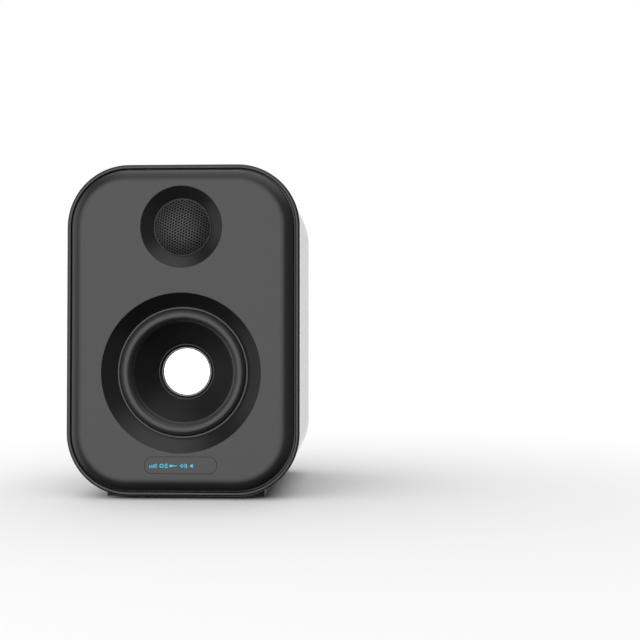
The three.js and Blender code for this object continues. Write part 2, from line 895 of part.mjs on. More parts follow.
function heatSink() {
  const place = { x: 0, z: boardTop - 30 };
  const base = blockAt(place, 54, 30, boardFrontY - 4, boardFrontY);
  const fins = Array.from({ length: 5 }, (_, i) =>
    blockAt({ x: place.x + (i - 2) * 12.5, z: place.z }, 2.4, 30, boardFrontY - 18, boardFrontY - 3),
  );
  return join(base, ...fins);
}

// ---- Controls -------------------------------------------------------------------------------

const encoderY = panelInnerY - gap - 10;
const encoderBoreY = panelInnerY - gap - 4;
const collarRadius = 4.4;
part(
  "volume_encoder",
  cut(
    join(
      blockAt(volumePlace, 14, 14, encoderY, panelInnerY - gap),
      rod(volumePlace, bushRadius + 1.1 - gap, panelInnerY - gap - 1, panelInnerY - gap, 20),
    ),
    rod(volumePlace, collarRadius + runningGap, encoderY - 1, encoderBoreY, 20),
    rod(volumePlace, bushRadius, encoderY, backY, 20),
  ),
  steel,
);
const shaftFootY = encoderY + 3.4;
part(
  "volume_plunger",
  join(
    rod(volumePlace, collarRadius, encoderY + 1, shaftFootY - gap, 16),
    rod(volumePlace, 1.5, encoderY - 2, encoderY + 2, 12),
  ),
  brass,
);
const knobEndY = backY + knobProud;
const knobY = backY + 1.2;
part(
  "volume_shaft",
  join(
    rod(volumePlace, collarRadius, shaftFootY, encoderBoreY - gap, 16),
    rod(volumePlace, volumeShaftRadius, shaftFootY, knobEndY - 3, 16),
  ),
  steel,
);

// A turned knob with a bevelled front edge and a pointer notch across its rim.
function knob(place, radius, segments) {
  const body = turned(
    place,
    [[0, knobY], [radius, knobY], [radius, knobEndY - 1.2], [radius - 1.2, knobEndY], [0, knobEndY]],
    segments,
  );
  const pointer = block(
    [place.x - 0.5, knobEndY - 0.8, place.z + radius / 3],
    [place.x + 0.5, knobEndY + 1, place.z + radius + 1],
  );
  return cut(body, pointer);
}

part(
  "volume_knob",
  cut(
    knob(volumePlace, volumeKnobRadius, 32),
    rod(volumePlace, volumeShaftRadius + gap, backY, knobEndY - 3 + gap, 16),
  ),
  satinBlack,
);

for (const [name, place] of [["treble", treblePlace], ["bass", bassPlace]]) {
  const potY = panelInnerY - gap - 9;
  part(
    `${name}_pot`,
    cut(
      blockAt(place, 12, 12, potY, panelInnerY - gap),
      rod(place, toneShaftRadius + runningGap, potY + 2, backY, 16),
    ),
    steel,
  );
  part(
    `${name}_knob`,
    join(knob(place, toneKnobRadius, 24), rod(place, toneShaftRadius, potY + 3, knobY + 1, 12)),
    satinBlack,
  );
}

// A rocker in a housing with an open front. It rests on its off side and tips the other way.
const rockerTilt = 8;
const switchFlange = 1.4;
const switchEndY = backY + gap + switchFlange;
const rockerLength = 15.4;
const rockerWidth = 9;
const rockerPivotY = backY - 1.5;
part(
  "switch_housing",
  cut(
    join(
      blockAt(switchPlace, switchSize.width, switchSize.height, backY - 20, switchEndY),
      blockAt(switchPlace, switchSize.width + 3, switchSize.height + 3, backY + gap, switchEndY),
    ),
    blockAt(switchPlace, rockerWidth + 2 * runningGap, rockerLength + 2.2, backY - 10, switchEndY + 1),
  ),
  satinBlack,
);
function powerRocker() {
  const half = rockerLength / 2;
  const side = new THREE.Shape();
  side.moveTo(-half, -2.4);
  side.lineTo(0, -4.2);
  side.lineTo(half, -2.4);
  side.lineTo(half, 2.9);
  side.quadraticCurveTo(0, 1.2, -half, 2.9);
  side.closePath();
  const along = { depth: rockerWidth, bevelEnabled: false, curveSegments: 6 };
  const geometry = new THREE.ExtrudeGeometry(side, along);
  geometry.translate(0, 0, -rockerWidth / 2);
  geometry.rotateY(Math.PI / 2); // the section's length now runs down, and its depth across
  return solid(geometry);
}
const rocker = part("power_rocker", powerRocker(), satinBlack);
rocker.position.set(switchPlace.x, rockerPivotY, switchPlace.z);
rocker.rotation.x = THREE.MathUtils.degToRad(-rockerTilt);

// ---- Sockets --------------------------------------------------------------------------------

const pinPitch = 8.6;
const pinRadius = 1.15;
part("mains_inlet", mainsInlet(), satinBlack);
function mainsInlet() {
  const { width, height } = inletSize;
  const endY = backY + gap + 1.4;
  const body = join(
    blockAt(inletPlace, width, height, backY - 20, endY),
    blockAt(inletPlace, width + 4, height + 4, backY + gap, endY),
  );
  const well = plate({
    width: width - 3,
    height: height - 3.6,
    radius: (height - 3.6) / 2 - 0.1,
    y0: backY - 12,
    y1: endY + 1,
    x: inletPlace.x,
    z: inletPlace.z,
    arcs: 3,
  });
  const pins = [-1, 1].map((side) =>
    rod({ x: inletPlace.x + (side * pinPitch) / 2, z: inletPlace.z }, pinRadius, backY - 13, backY - 2, 10),
  );
  return join(cut(body, well), ...pins);
}

// A metal-shelled socket with a contact tongue in its mouth.
function tongueSocket(place, { width, height }, wall, tongue) {
  const endY = backY + 0.4;
  return join(
    cut(
      blockAt(place, width, height, backY - 14, endY),
      blockAt(place, width - 2 * wall, height - 2 * wall, backY - 11, endY + 1),
    ),
    blockAt(place, width - 2 * wall - 2, tongue, backY - 12, endY - 1.5),
  );
}
part("digital_socket", tongueSocket(digitalPlace, digitalSize, 1, 1), steel);
part("data_socket", tongueSocket(dataPlace, dataSize, 1, 1.6), steel);
part(
  "aux_jack",
  cut(
    join(
      blockAt(auxPlace, 10, 10, backY - 16, panelInnerY - gap),
      rod(auxPlace, auxNose, panelInnerY - 1, backY + 0.8, 20),
    ),
    rod(auxPlace, 1.8, backY - 14, backY + 2, 12),
  ),
  satinBlack,
);

// The optical socket and its shutter, which hangs from a top edge hinge and swings inwards.
const opticalEndY = backY + 0.6;
const shutterThickness = 0.8;
const shutterHingeZ = opticalPlace.z + 4.4;
const shutterY = backY - 0.8;
part(
  "optical_socket",
  cut(
    blockAt(opticalPlace, opticalSize.width, opticalSize.height, backY - 16, opticalEndY),
    block(
      [opticalPlace.x - 4.9, backY - 13.5, opticalPlace.z - 5.2],
      [opticalPlace.x + 4.9, opticalEndY + 1, opticalPlace.z + 5.4],
    ),
  ),
  satinBlack,
);
part(
  "optical_flap",
  block(
    [opticalPlace.x - 4.4, shutterY - shutterThickness / 2, opticalPlace.z - 4.8],
    [opticalPlace.x + 4.4, shutterY + shutterThickness / 2, shutterHingeZ + 0.5],
  ),
  satinBlack,
);

// The block of two spring clips for the passive speaker's lead.
const clipPitch = 16;
const clipWidth = 10;
const clipHeight = 13;
const leverHingeZ = terminalPlace.z - 3;
const terminalEndY = backY + 1.6;
const leverY = backY + 0.4;
const clipPlaces = [1, -1].map((side) => ({
  x: terminalPlace.x + (side * clipPitch) / 2,
  z: terminalPlace.z,
}));
part(
  "terminal_block",
  cut(
    blockAt(terminalPlace, terminalSize.width, terminalSize.height, backY - 14, terminalEndY),
    ...clipPlaces.flatMap((p) => [
      block(
        [p.x - clipWidth / 2 - runningGap, backY - 9, leverHingeZ - 1.6],
        [p.x + clipWidth / 2 + runningGap, terminalEndY + 1, leverHingeZ + clipHeight],
      ),
      rod({ x: p.x, z: leverHingeZ - 5 }, 1.6, backY - 11, backY + 5, 12),
    ]),
  ),
  satinBlack,
);
clipPlaces.forEach((place, i) => {
  const lever = join(
    block(
      [place.x - clipWidth / 2, leverY - 1, leverHingeZ - 1],
      [place.x + clipWidth / 2, leverY + 1, leverHingeZ + clipHeight - 1],
    ),
    block(
      [place.x - clipWidth / 2, leverY, leverHingeZ + clipHeight - 5],
      [place.x + clipWidth / 2, leverY + 4.6, leverHingeZ + clipHeight - 1],
    ),
  );
  part(i ? "terminal_lever_black" : "terminal_lever_red", lever, i ? satinBlack : red);
});

// ---- Inside ---------------------------------------------------------------------------------

const waddingY0 = yokeY + plateThickness + 5;
const shellFloorZ = bottomZ + shellInset + shellWall;
part(
  "acoustic_wadding",
  plate({
    width: cabinetWidth - 2 * cornerRadius + 26,
    height: 36,
    radius: 12,
    y0: waddingY0,
    y1: boardFrontY - 34,
    z: shellFloorZ + 20,
    arcs: 2,
  }),
  wadding,
);

const basketTagY = basketY + flangeThickness + 12;
part(
  "woofer_lead",
  lead(
    [
      [wooferOpening + 6, basketTagY, wooferZ + 8],
      [wooferOpening + 14, basketTagY + 22, wooferZ + 2],
      [wooferOpening + 10, (basketTagY + boardY) / 2 + 10, wooferZ - 12],
      [boardHalf - 2, boardFrontY - 16, boardBottom + 40],
      [boardHalf - 6, boardFrontY - 1, boardBottom + 44],
    ],
    1.3,
  ),
  rubber,
);
part(
  "tweeter_lead",
  lead(
    [
      [-tweeterMagnetRadius + 6, tweeterMagnetEndY + gap, tweeterZ - 4],
      [-tweeterMagnetRadius + 2, tweeterMagnetEndY + 16, tweeterZ - 8],
      [-boardHalf + 8, (tweeterMagnetEndY + boardFrontY) / 2, tweeterZ - 30],
      [-boardHalf + 4, boardFrontY - 16, boardTop - 12],
      [-boardHalf + 4, boardFrontY - 1, boardTop - 10],
    ],
    1.1,
  ),
  rubber,
);

export default speaker;
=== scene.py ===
# A powered bookshelf speaker on a pale studio floor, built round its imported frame.
import math

import bpy
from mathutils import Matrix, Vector
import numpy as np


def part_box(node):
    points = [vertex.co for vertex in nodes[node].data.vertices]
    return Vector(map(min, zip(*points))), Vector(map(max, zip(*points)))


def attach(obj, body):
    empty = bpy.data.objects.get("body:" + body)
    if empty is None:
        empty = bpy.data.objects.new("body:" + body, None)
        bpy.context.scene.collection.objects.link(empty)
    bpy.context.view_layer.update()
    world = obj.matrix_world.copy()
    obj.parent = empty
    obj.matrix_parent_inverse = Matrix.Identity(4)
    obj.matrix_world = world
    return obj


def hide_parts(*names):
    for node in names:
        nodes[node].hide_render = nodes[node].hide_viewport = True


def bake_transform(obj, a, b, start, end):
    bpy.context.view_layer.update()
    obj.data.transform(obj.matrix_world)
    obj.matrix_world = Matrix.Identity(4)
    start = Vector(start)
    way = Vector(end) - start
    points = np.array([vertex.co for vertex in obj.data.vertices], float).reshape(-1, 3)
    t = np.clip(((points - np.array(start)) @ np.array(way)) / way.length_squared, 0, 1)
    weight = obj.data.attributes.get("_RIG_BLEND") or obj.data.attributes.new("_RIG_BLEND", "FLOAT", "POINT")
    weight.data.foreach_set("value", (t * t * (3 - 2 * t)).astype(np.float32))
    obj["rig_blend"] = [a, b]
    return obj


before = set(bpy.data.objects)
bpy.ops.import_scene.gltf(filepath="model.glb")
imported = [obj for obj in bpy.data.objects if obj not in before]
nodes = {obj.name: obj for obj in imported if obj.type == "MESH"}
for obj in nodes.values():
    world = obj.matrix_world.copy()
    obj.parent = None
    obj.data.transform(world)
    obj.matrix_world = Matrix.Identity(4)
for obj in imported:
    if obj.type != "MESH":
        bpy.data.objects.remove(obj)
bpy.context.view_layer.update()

mm = 0.001
tiny = 1e-6
bpy.ops.object.select_all(action="DESELECT")


# how a piece is picked, edited, cut and finished

def middle(node):
    low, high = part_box(node)
    return (low + high) / 2


def pickOnly(piece):
    bpy.ops.object.select_all(action="DESELECT")
    piece.select_set(True)
    bpy.context.view_layer.objects.active = piece


def openMesh(piece, mode="FACE"):
    pickOnly(piece)
    bpy.ops.object.mode_set(mode="EDIT")
    bpy.ops.mesh.select_mode(type=mode)
    bpy.ops.mesh.select_all(action="DESELECT")
    bpy.ops.object.mode_set(mode="OBJECT")


def editFaces(piece, wanted):
    openMesh(piece, "FACE")
    for face in piece.data.polygons:
        face.select = wanted(face)
    bpy.ops.object.mode_set(mode="EDIT")


def editEdges(piece, wanted):
    openMesh(piece, "EDGE")
    corners = piece.data.vertices
    for edge in piece.data.edges:
        a, b = (corners[i].co for i in edge.vertices)
        edge.select = wanted(a, b)
    bpy.ops.object.mode_set(mode="EDIT")


def editAll(piece):
    pickOnly(piece)
    bpy.ops.object.mode_set(mode="EDIT")
    bpy.ops.mesh.select_all(action="SELECT")


def doneEditing():
    bpy.ops.object.mode_set(mode="OBJECT")


def applyPlace(piece):
    pickOnly(piece)
    bpy.ops.object.transform_apply(location=True, rotation=True, scale=True)


def modify(piece, kind, **settings):
    pickOnly(piece)
    bpy.ops.object.modifier_add(type=kind)
    modifier = piece.modifiers[-1]
    for name, value in settings.items():
        setattr(modifier, name, value)
    bpy.ops.object.modifier_apply(modifier=modifier.name)


def cutAway(piece, *cutters):
    for cutter in cutters:
        modify(piece, "BOOLEAN", operation="DIFFERENCE", solver="EXACT", object=cutter)
        bpy.data.objects.remove(cutter)


def joinAll(pieces):
    pickOnly(pieces[0])
    for piece in pieces:
        piece.select_set(True)
    if len(pieces) > 1:
        bpy.ops.object.join()
    return pieces[0]


def block(low, high, bevel=0.0, segments=2):
    low, high = Vector(low), Vector(high)
    bpy.ops.mesh.primitive_cube_add(size=1, location=(low + high) / 2, scale=high - low)
    piece = bpy.context.object
    applyPlace(piece)
    if bevel:
        modify(piece, "BEVEL", width=bevel, segments=segments, limit_method="NONE")
    return piece


# a block whose four edges along Y are rounded
def roundedBlock(low, high, corner, segments=24):
    piece = block(low, high)
    editEdges(piece, lambda a, b: abs(a.x - b.x) < tiny and abs(a.z - b.z) < tiny)
    bpy.ops.mesh.bevel(offset=corner, segments=segments, affect="EDGES", clamp_overlap=False)
    doneEditing()
    return piece


def frontFace(piece):
    lowest = min(corner.co.y for corner in piece.data.vertices)
    return lambda face: face.normal.y < -0.999 and abs(face.center.y - lowest) < tiny


def backFace(piece):
    highest = max(corner.co.y for corner in piece.data.vertices)
    return lambda face: face.normal.y > 0.999 and abs(face.center.y - highest) < tiny


# rounds the picked face over a quarter ellipse, then adds a narrow flat ring inside it
def roundOver(inset, depth, steps, flatRing=0.5 * mm):
    quarter = [math.pi / 2 * i / steps for i in range(steps + 1)]
    for a, b in zip(quarter, quarter[1:]):
        bpy.ops.mesh.inset(
            thickness=inset * (math.cos(a) - math.cos(b)),
            depth=depth * (math.sin(b) - math.sin(a)),
        )
    bpy.ops.mesh.inset(thickness=flatRing, depth=0)


def rod(centre, radius, y0, y1, sides=64):
    bpy.ops.mesh.primitive_cylinder_add(
        vertices=sides, radius=radius, depth=y1 - y0,
        location=(centre.x, (y0 + y1) / 2, centre.z), rotation=(math.pi / 2, 0, 0),
    )
    piece = bpy.context.object
    applyPlace(piece)
    return piece


# turns a closed profile of (radius, depth behind y) points, in millimetres, round a line along Y
def turn(centre, y, profile, steps=96, closed=True):
    bpy.ops.mesh.primitive_plane_add(size=1 * mm, location=(centre.x, y, centre.z))
    piece = bpy.context.object
    applyPlace(piece)
    editAll(piece)
    bpy.ops.mesh.select_mode(type="VERT")
    bpy.ops.mesh.merge(type="CENTER")
    (r, depth) = profile[0]
    bpy.ops.transform.translate(value=(r * mm, depth * mm, 0))
    loop = profile + profile[:1] if closed else profile
    for (r0, d0), (r1, d1) in zip(loop, loop[1:]):
        bpy.ops.mesh.extrude_region_move(
            TRANSFORM_OT_translate={"value": ((r1 - r0) * mm, (d1 - d0) * mm, 0)}
        )
    bpy.ops.mesh.select_all(action="SELECT")
    bpy.ops.mesh.spin(steps=steps, angle=2 * math.pi, center=(centre.x, y, centre.z), axis=(0, 1, 0))
    bpy.ops.mesh.select_all(action="SELECT")
    bpy.ops.mesh.remove_doubles(threshold=tiny)
    bpy.ops.mesh.normals_make_consistent(inside=False)
    doneEditing()
    return piece


# points on an elliptical arc, from angle a0 to a1 in degrees
def arc(r, depth, halfR, halfDepth, a0, a1, steps):
    angles = [math.radians(a0 + (a1 - a0) * i / steps) for i in range(steps + 1)]
    return [(r + halfR * math.cos(a), depth + halfDepth * math.sin(a)) for a in angles]


# points on a shallow dome, from the axis at its crest to its rim
def dome(rim, depth, rise, steps):
    sphere = (rim**2 + rise**2) / (2 * rise)
    full = math.asin(rim / sphere)
    angles = [full * i / steps for i in range(steps + 1)]
    return [(sphere * math.sin(a), depth - rise + sphere * (1 - math.cos(a))) for a in angles]


# a copy of a CAD node with its facets merged and its edges softened
def softenedCopy(node, width, segments=2):
    piece = bpy.data.objects.new(node + "Soft", nodes[node].data.copy())
    bpy.context.scene.collection.objects.link(piece)
    pickOnly(piece)
    bpy.ops.mesh.customdata_custom_splitnormals_clear()
    editAll(piece)
    bpy.ops.mesh.remove_doubles(threshold=tiny)
    bpy.ops.mesh.dissolve_limited(angle_limit=math.radians(1))
    doneEditing()
    modify(
        piece, "BEVEL", width=width, segments=segments, limit_method="ANGLE",
        angle_limit=math.radians(40), harden_normals=False,
    )
    return piece


def finishPiece(piece, name, finish, stands=(), body="cabinet", angle=35, ride=True, slot=None):
    piece.name = name
    piece.data.materials.clear()
    piece.data.materials.append(finishes[finish])
    pickOnly(piece)
    bpy.ops.object.shade_smooth_by_angle(angle=math.radians(angle))
    modify(piece, "WEIGHTED_NORMAL", keep_sharp=True)
    modify(piece, "TRIANGULATE", min_vertices=5, keep_custom_normals=True)
    if ride:
        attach(piece, body)
    if stands:
        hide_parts(*stands)
    return piece


# the finishes: each is built from noise, waves or cells at the real grain's size

def newFinish(name, colour, roughness, metallic=0.0, **constants):
    material = bpy.data.materials.new(name)
    material.use_nodes = True
    shader = material.node_tree.nodes["Principled BSDF"]
    shader.inputs["Base Color"].default_value = (*colour, 1)
    shader.inputs["Roughness"].default_value = roughness
    shader.inputs["Metallic"].default_value = metallic
    for socket, value in constants.items():
        shader.inputs[socket.replace("_", " ")].default_value = value
    return material, material.node_tree, shader


def addNode(tree, kind, links=(), **values):
    node = tree.nodes.new(kind)
    for name, value in values.items():
        if hasattr(node, name):
            setattr(node, name, value)
        else:
            node.inputs[name.replace("_", " ")].default_value = value
    for socket, source in links:
        tree.links.new(source, node.inputs[socket])
    return node


def objectPlace(tree, stretch=(1, 1, 1), tilt=(0, 0, 0)):
    place = addNode(tree, "ShaderNodeTexCoord").outputs["Object"]
    mapping = addNode(tree, "ShaderNodeMapping", [("Vector", place)])
    mapping.inputs["Scale"].default_value = stretch
    mapping.inputs["Rotation"].default_value = tilt
    return mapping.outputs["Vector"]


def noise(tree, size, detail=3.0, stretch=(1, 1, 1)):
    place = objectPlace(tree, stretch)
    return addNode(
        tree, "ShaderNodeTexNoise", [("Vector", place)], Scale=1 / size, Detail=detail
    ).outputs["Fac"]


def bumpFrom(tree, shader, height, distance, strength=1.0):
    bump = addNode(tree, "ShaderNodeBump", [("Height", height)], Distance=distance, Strength=strength)
    tree.links.new(bump.outputs["Normal"], shader.inputs["Normal"])
    return bump


def spread(tree, value, low, high, into):
    ranged = addNode(tree, "ShaderNodeMapRange", [("Value", value)])
    ranged.inputs["From Min"].default_value = 0.3
    ranged.inputs["From Max"].default_value = 0.7
    ranged.inputs["To Min"].default_value = low
    ranged.inputs["To Max"].default_value = high
    tree.links.new(ranged.outputs["Result"], into)


def tone(tree, value, dark, light, into):
    mix = addNode(tree, "ShaderNodeMix", data_type="RGBA")
    mix.inputs[6].default_value = (*dark, 1)
    mix.inputs[7].default_value = (*light, 1)
    tree.links.new(value, mix.inputs[0])
    tree.links.new(mix.outputs[2], into)


def shade(colour, factor):
    return tuple(channel * factor for channel in colour)


# moulded or painted surface: fine grain, faint mottling and uneven gloss
def mouldedFinish(name, colour, roughness, grain, depth, gloss=0.5, mottle=0.08, coat=0.0):
    material, tree, shader = newFinish(
        name, colour, roughness, Specular_IOR_Level=gloss, Coat_Weight=coat, Coat_Roughness=0.12
    )
    cloud = noise(tree, 14 * mm, 4)
    tone(tree, cloud, shade(colour, 1 - mottle), shade(colour, 1 + mottle), shader.inputs["Base Color"])
    spread(tree, noise(tree, 5 * mm, 5), roughness * 0.92, roughness * 1.08, shader.inputs["Roughness"])
    if depth:
        bumpFrom(tree, shader, noise(tree, grain, 2), depth)
    return material


# grain pressed by an etched mould: rounded pebbles with fine noise over them
def etchedFinish(name, colour, roughness, pebble, depth):
    material, tree, shader = newFinish(name, colour, roughness, Specular_IOR_Level=0.4)
    cells = addNode(
        tree, "ShaderNodeTexVoronoi", [("Vector", objectPlace(tree))],
        feature="SMOOTH_F1", Scale=1 / pebble, Smoothness=0.6,
    ).outputs["Distance"]
    height = addNode(
        tree, "ShaderNodeMath", [(0, cells), (1, noise(tree, pebble / 2, 3))], operation="ADD"
    ).outputs["Value"]
    tone(tree, cells, shade(colour, 1.15), shade(colour, 0.8), shader.inputs["Base Color"])
    bumpFrom(tree, shader, height, depth)
    return material


# pressed paper pulp: crossing fibres under a thin coating
def pulpFinish(name, colour, roughness):
    material, tree, shader = newFinish(name, colour, roughness, Specular_IOR_Level=0.35)
    along = noise(tree, 1.6 * mm, 6, stretch=(1, 1, 5))
    across = noise(tree, 1.6 * mm, 6, stretch=(5, 1, 1))
    fibres = addNode(
        tree, "ShaderNodeMath", [(0, along), (1, across)], operation="MAXIMUM"
    ).outputs["Value"]
    tone(tree, fibres, shade(colour, 0.75), shade(colour, 1.3), shader.inputs["Base Color"])
    spread(tree, fibres, roughness * 1.1, roughness * 0.85, shader.inputs["Roughness"])
    bumpFrom(tree, shader, fibres, 0.12 * mm, 0.6)
    return material


# bare, plated, brushed or cast metal, with streaks along one axis when it is brushed
def metalFinish(name, colour, roughness, streak=(1, 1, 1), size=2 * mm, depth=0.01 * mm):
    material, tree, shader = newFinish(name, colour, roughness, 1.0)
    marks = noise(tree, size, 6, stretch=streak)
    tone(tree, marks, shade(colour, 0.88), shade(colour, 1.06), shader.inputs["Base Color"])
    spread(tree, marks, roughness * 0.7, roughness * 1.3, shader.inputs["Roughness"])
    bumpFrom(tree, shader, marks, depth)
    return material


# woven cloth: two crossed waves of thread
def clothFinish(name, colour, roughness, thread, sheen=0.3, gloss=0.5):
    material, tree, shader = newFinish(
        name, colour, roughness, Sheen_Weight=sheen, Specular_IOR_Level=gloss
    )
    threads = [
        addNode(
            tree, "ShaderNodeTexWave", [("Vector", objectPlace(tree))],
            bands_direction=axis, Scale=0.5 / thread, Distortion=0.6, Detail=1.0,
        ).outputs["Fac"]
        for axis in ("X", "Z")
    ]
    weave = addNode(
        tree, "ShaderNodeMath", [(0, threads[0]), (1, threads[1])], operation="MULTIPLY"
    ).outputs["Value"]
    tone(tree, weave, shade(colour, 0.6), shade(colour, 1.2), shader.inputs["Base Color"])
    bumpFrom(tree, shader, weave, thread * 0.4)
    return material


# laminate board: green mask over darker copper tracks
def boardFinish(name, colour):
    material, tree, shader = newFinish(name, colour, 0.32, Coat_Weight=0.4)
    bricks = addNode(
        tree, "ShaderNodeTexBrick", [("Vector", objectPlace(tree, tilt=(math.pi / 2, 0, 0)))],
        Scale=1 / (9 * mm), Mortar_Size=0.03,
    ).outputs["Fac"]
    tone(tree, bricks, shade(colour, 1.5), shade(colour, 0.55), shader.inputs["Base Color"])
    bumpFrom(tree, shader, bricks, 0.03 * mm)
    return material


# fine enamelled wire wound side by side round the axis
def windingFinish(name, colour):
    material, tree, shader = newFinish(name, colour, 0.35, 1.0)
    turns = addNode(
        tree, "ShaderNodeTexWave", [("Vector", objectPlace(tree))],
        bands_direction="Y", Scale=0.5 / (0.5 * mm), Distortion=0.2,
    ).outputs["Fac"]
    tone(tree, turns, shade(colour, 0.45), shade(colour, 1.1), shader.inputs["Base Color"])
    bumpFrom(tree, shader, turns, 0.1 * mm)
    return material


def litFinish(name, colour, strength):
    material, tree, shader = newFinish(name, shade(colour, 0.2), 0.3)
    shader.inputs["Emission Strength"].default_value = strength
    glow = noise(tree, 1 * mm, 2)
    tone(tree, glow, shade(colour, 0.9), colour, shader.inputs["Emission Color"])
    return material


finishes = {
    "shell_black": mouldedFinish("shellBlack", (0.013, 0.013, 0.014), 0.3, 0.35 * mm, 0.004 * mm),
    "satin_black": mouldedFinish("satinBlack", (0.024, 0.024, 0.0245), 0.24, 0.3 * mm, 0.006 * mm),
    "baffle_charcoal": mouldedFinish(
        "baffleCharcoal", (0.034, 0.034, 0.0345), 0.3, 0.22 * mm, 0.008 * mm, mottle=0.03
    ),
    "foot_rubber": mouldedFinish("footRubber", (0.04, 0.04, 0.04), 0.8, 0.5 * mm, 0.03 * mm),
    "smoked_window": mouldedFinish(
        "smokedWindow", (0.034, 0.034, 0.0345), 0.3, 0.4 * mm, 0.0, mottle=0.02
    ),
    "lit_cyan": litFinish("litCyan", (0.02, 0.55, 0.8), 0.9),
    "circuit_board": boardFinish("circuitBoard", (0.012, 0.07, 0.034)),
    "flare_black": mouldedFinish("flareBlack", (0.012, 0.012, 0.0122), 0.32, 0.22 * mm, 0.006 * mm),
    "basket_steel": mouldedFinish("basketSteel", (0.02, 0.02, 0.02), 0.45, 0.8 * mm, 0.02 * mm),
    "surround_rubber": mouldedFinish(
        "surroundRubber", (0.042, 0.042, 0.0425), 0.33, 0.2 * mm, 0.006 * mm, mottle=0.04
    ),
    "cone_pulp": pulpFinish("conePulp", (0.008, 0.008, 0.0083), 0.42),
    "polished_cap": metalFinish("polishedCap", (0.95, 0.95, 0.955), 0.07, size=9 * mm, depth=0.0),
    "cap_edge": metalFinish("capEdge", (0.35, 0.35, 0.355), 0.3, size=2 * mm, depth=0.0),
    "copper_wire": windingFinish("copperWire", (0.62, 0.27, 0.12)),
    "spider_cloth": clothFinish("spiderCloth", (0.42, 0.26, 0.09), 0.85, 0.6 * mm),
    "zinc_steel": metalFinish("zincSteel", (0.55, 0.55, 0.56), 0.34, size=1.5 * mm),
    "ferrite": etchedFinish("ferrite", (0.032, 0.031, 0.032), 0.7, 0.5 * mm, 0.05 * mm),
    # near-black colour, darker than the satin black, is painted shade for the faceplate deep behind the
    # tweeter mesh; its low gloss is real
    "shaded_matt_black": mouldedFinish(
        "shadedMattBlack", (0.008, 0.008, 0.008), 0.8, 0.4 * mm, 0.02 * mm, gloss=0.1
    ),
    "grille_mesh": mouldedFinish(
        "grilleMesh", (0.085, 0.085, 0.086), 0.36, 0.2 * mm, 0.004 * mm, gloss=0.65
    ),
    "dome_silk": clothFinish(
        "domeSilk", (0.008, 0.008, 0.009), 0.7, 0.25 * mm, sheen=0.0, gloss=0.12
    ),
    "panel_black": etchedFinish("panelBlack", (0.016, 0.016, 0.017), 0.55, 0.55 * mm, 0.06 * mm),
    "sink_aluminium": metalFinish("sinkAluminium", (0.6, 0.6, 0.61), 0.35, (30, 30, 1), 8 * mm),
    "contact_brass": metalFinish("contactBrass", (0.75, 0.54, 0.22), 0.25, size=1 * mm),
    "knob_black": mouldedFinish("knobBlack", (0.02, 0.02, 0.021), 0.34, 0.25 * mm, 0.008 * mm),
    "socket_black": mouldedFinish("socketBlack", (0.016, 0.016, 0.016), 0.42, 0.3 * mm, 0.008 * mm),
    "lever_red": mouldedFinish("leverRed", (0.42, 0.014, 0.016), 0.3, 0.4 * mm, 0.004 * mm),
    "white_wadding": clothFinish("whiteWadding", (0.78, 0.77, 0.74), 1.0, 1.4 * mm, 0.6),
    "lead_sleeve": mouldedFinish("leadSleeve", (0.022, 0.022, 0.022), 0.5, 0.3 * mm, 0.01 * mm),
    "screw_black": metalFinish("screwBlack", (0.09, 0.09, 0.092), 0.4, size=0.6 * mm),
}

print("finishes made")


cameraView = {
    "place": (0.1251, -0.8007, 0.1146),
    "tilt": 91.068,
    "pan": 2.142,
    "lens": 56.28,
}


def placeCamera():
    bpy.ops.object.camera_add(
        location=cameraView["place"],
        rotation=(math.radians(cameraView["tilt"]), 0, math.radians(cameraView["pan"])),
    )
    camera = bpy.context.object
    camera.data.lens = cameraView["lens"]
    camera.data.clip_start = 0.02
    bpy.context.scene.camera = camera


# levels of light by the way they come from, and where each one fades
studio = {
    "panel": 2.3,
    "panelMiddle": (-0.155, 0.05),
    "panelHalf": (0.28, 0.28),
    "panelReach": 6.8,
    "panelFade": (-0.25, 0.0),
    "above": 1.2,
    "aboveFade": (0.35, 0.95),
    "aboveLeft": 0.1,
    "aboveAcross": (-0.65, -0.15),
    "left": 0.8,
    "leftFade": (-0.7, -0.97),
    "right": 0.16,
    "rightFade": (0.2, 0.9),
    "rear": 1.75,
    "rearFade": (0.6, 0.9),
    "rearSides": 0.2,
    "rearAcross": (0.0, -0.3),
    "rearUp": (0.15, 0.45),
    "belowFade": (-0.75, -0.45),
    "base": 0.04,
    "ambient": 0.12,
    "floorTone": 0.93,
    "floorBack": 0.02,
    "floorSize": 30.0,
    "floorMiddle": (0.08, -0.1, 0),
    "nearFloor": 0.12,
    "farFloor": 0.62,
    "boxPlace": (-2.0, -1.4, 2.4),
    "boxSize": 8.0,
    "boxPower": 262,
}

# name, place, aim, size and power of each lamp that lights the object and not the floor
lamps = [
    ("keyLamp", (-1.1, -2.2, 1.3), (0, -0.05, 0.12), 1.6, 42),
    ("rearLampLeft", (-1.6, 1.9, 1.5), (0, 0, 0.12), 1.4, 30),
    ("rearLampRight", (1.5, 2.1, 1.1), (0, 0, 0.12), 1.4, 24),
]


def ramp(tree, value, low, high, bottom, top):
    node = addNode(tree, "ShaderNodeMapRange", [("Value", value)], interpolation_type="SMOOTHSTEP")
    node.inputs["From Min"].default_value = low
    node.inputs["From Max"].default_value = high
    node.inputs["To Min"].default_value = bottom
    node.inputs["To Max"].default_value = top
    return node.outputs["Result"]


def combine(tree, a, b, operation):
    node = addNode(tree, "ShaderNodeMath", operation=operation)
    for socket, value in zip(node.inputs, (a, b)):
        if isinstance(value, (int, float)):
            socket.default_value = value
        else:
            tree.links.new(value, socket)
    return node.outputs["Value"]


def mixShaders(tree, share, first, second):
    links = [(0, share), (1, first.outputs[0]), (2, second.outputs[0])]
    return addNode(tree, "ShaderNodeMixShader", links)


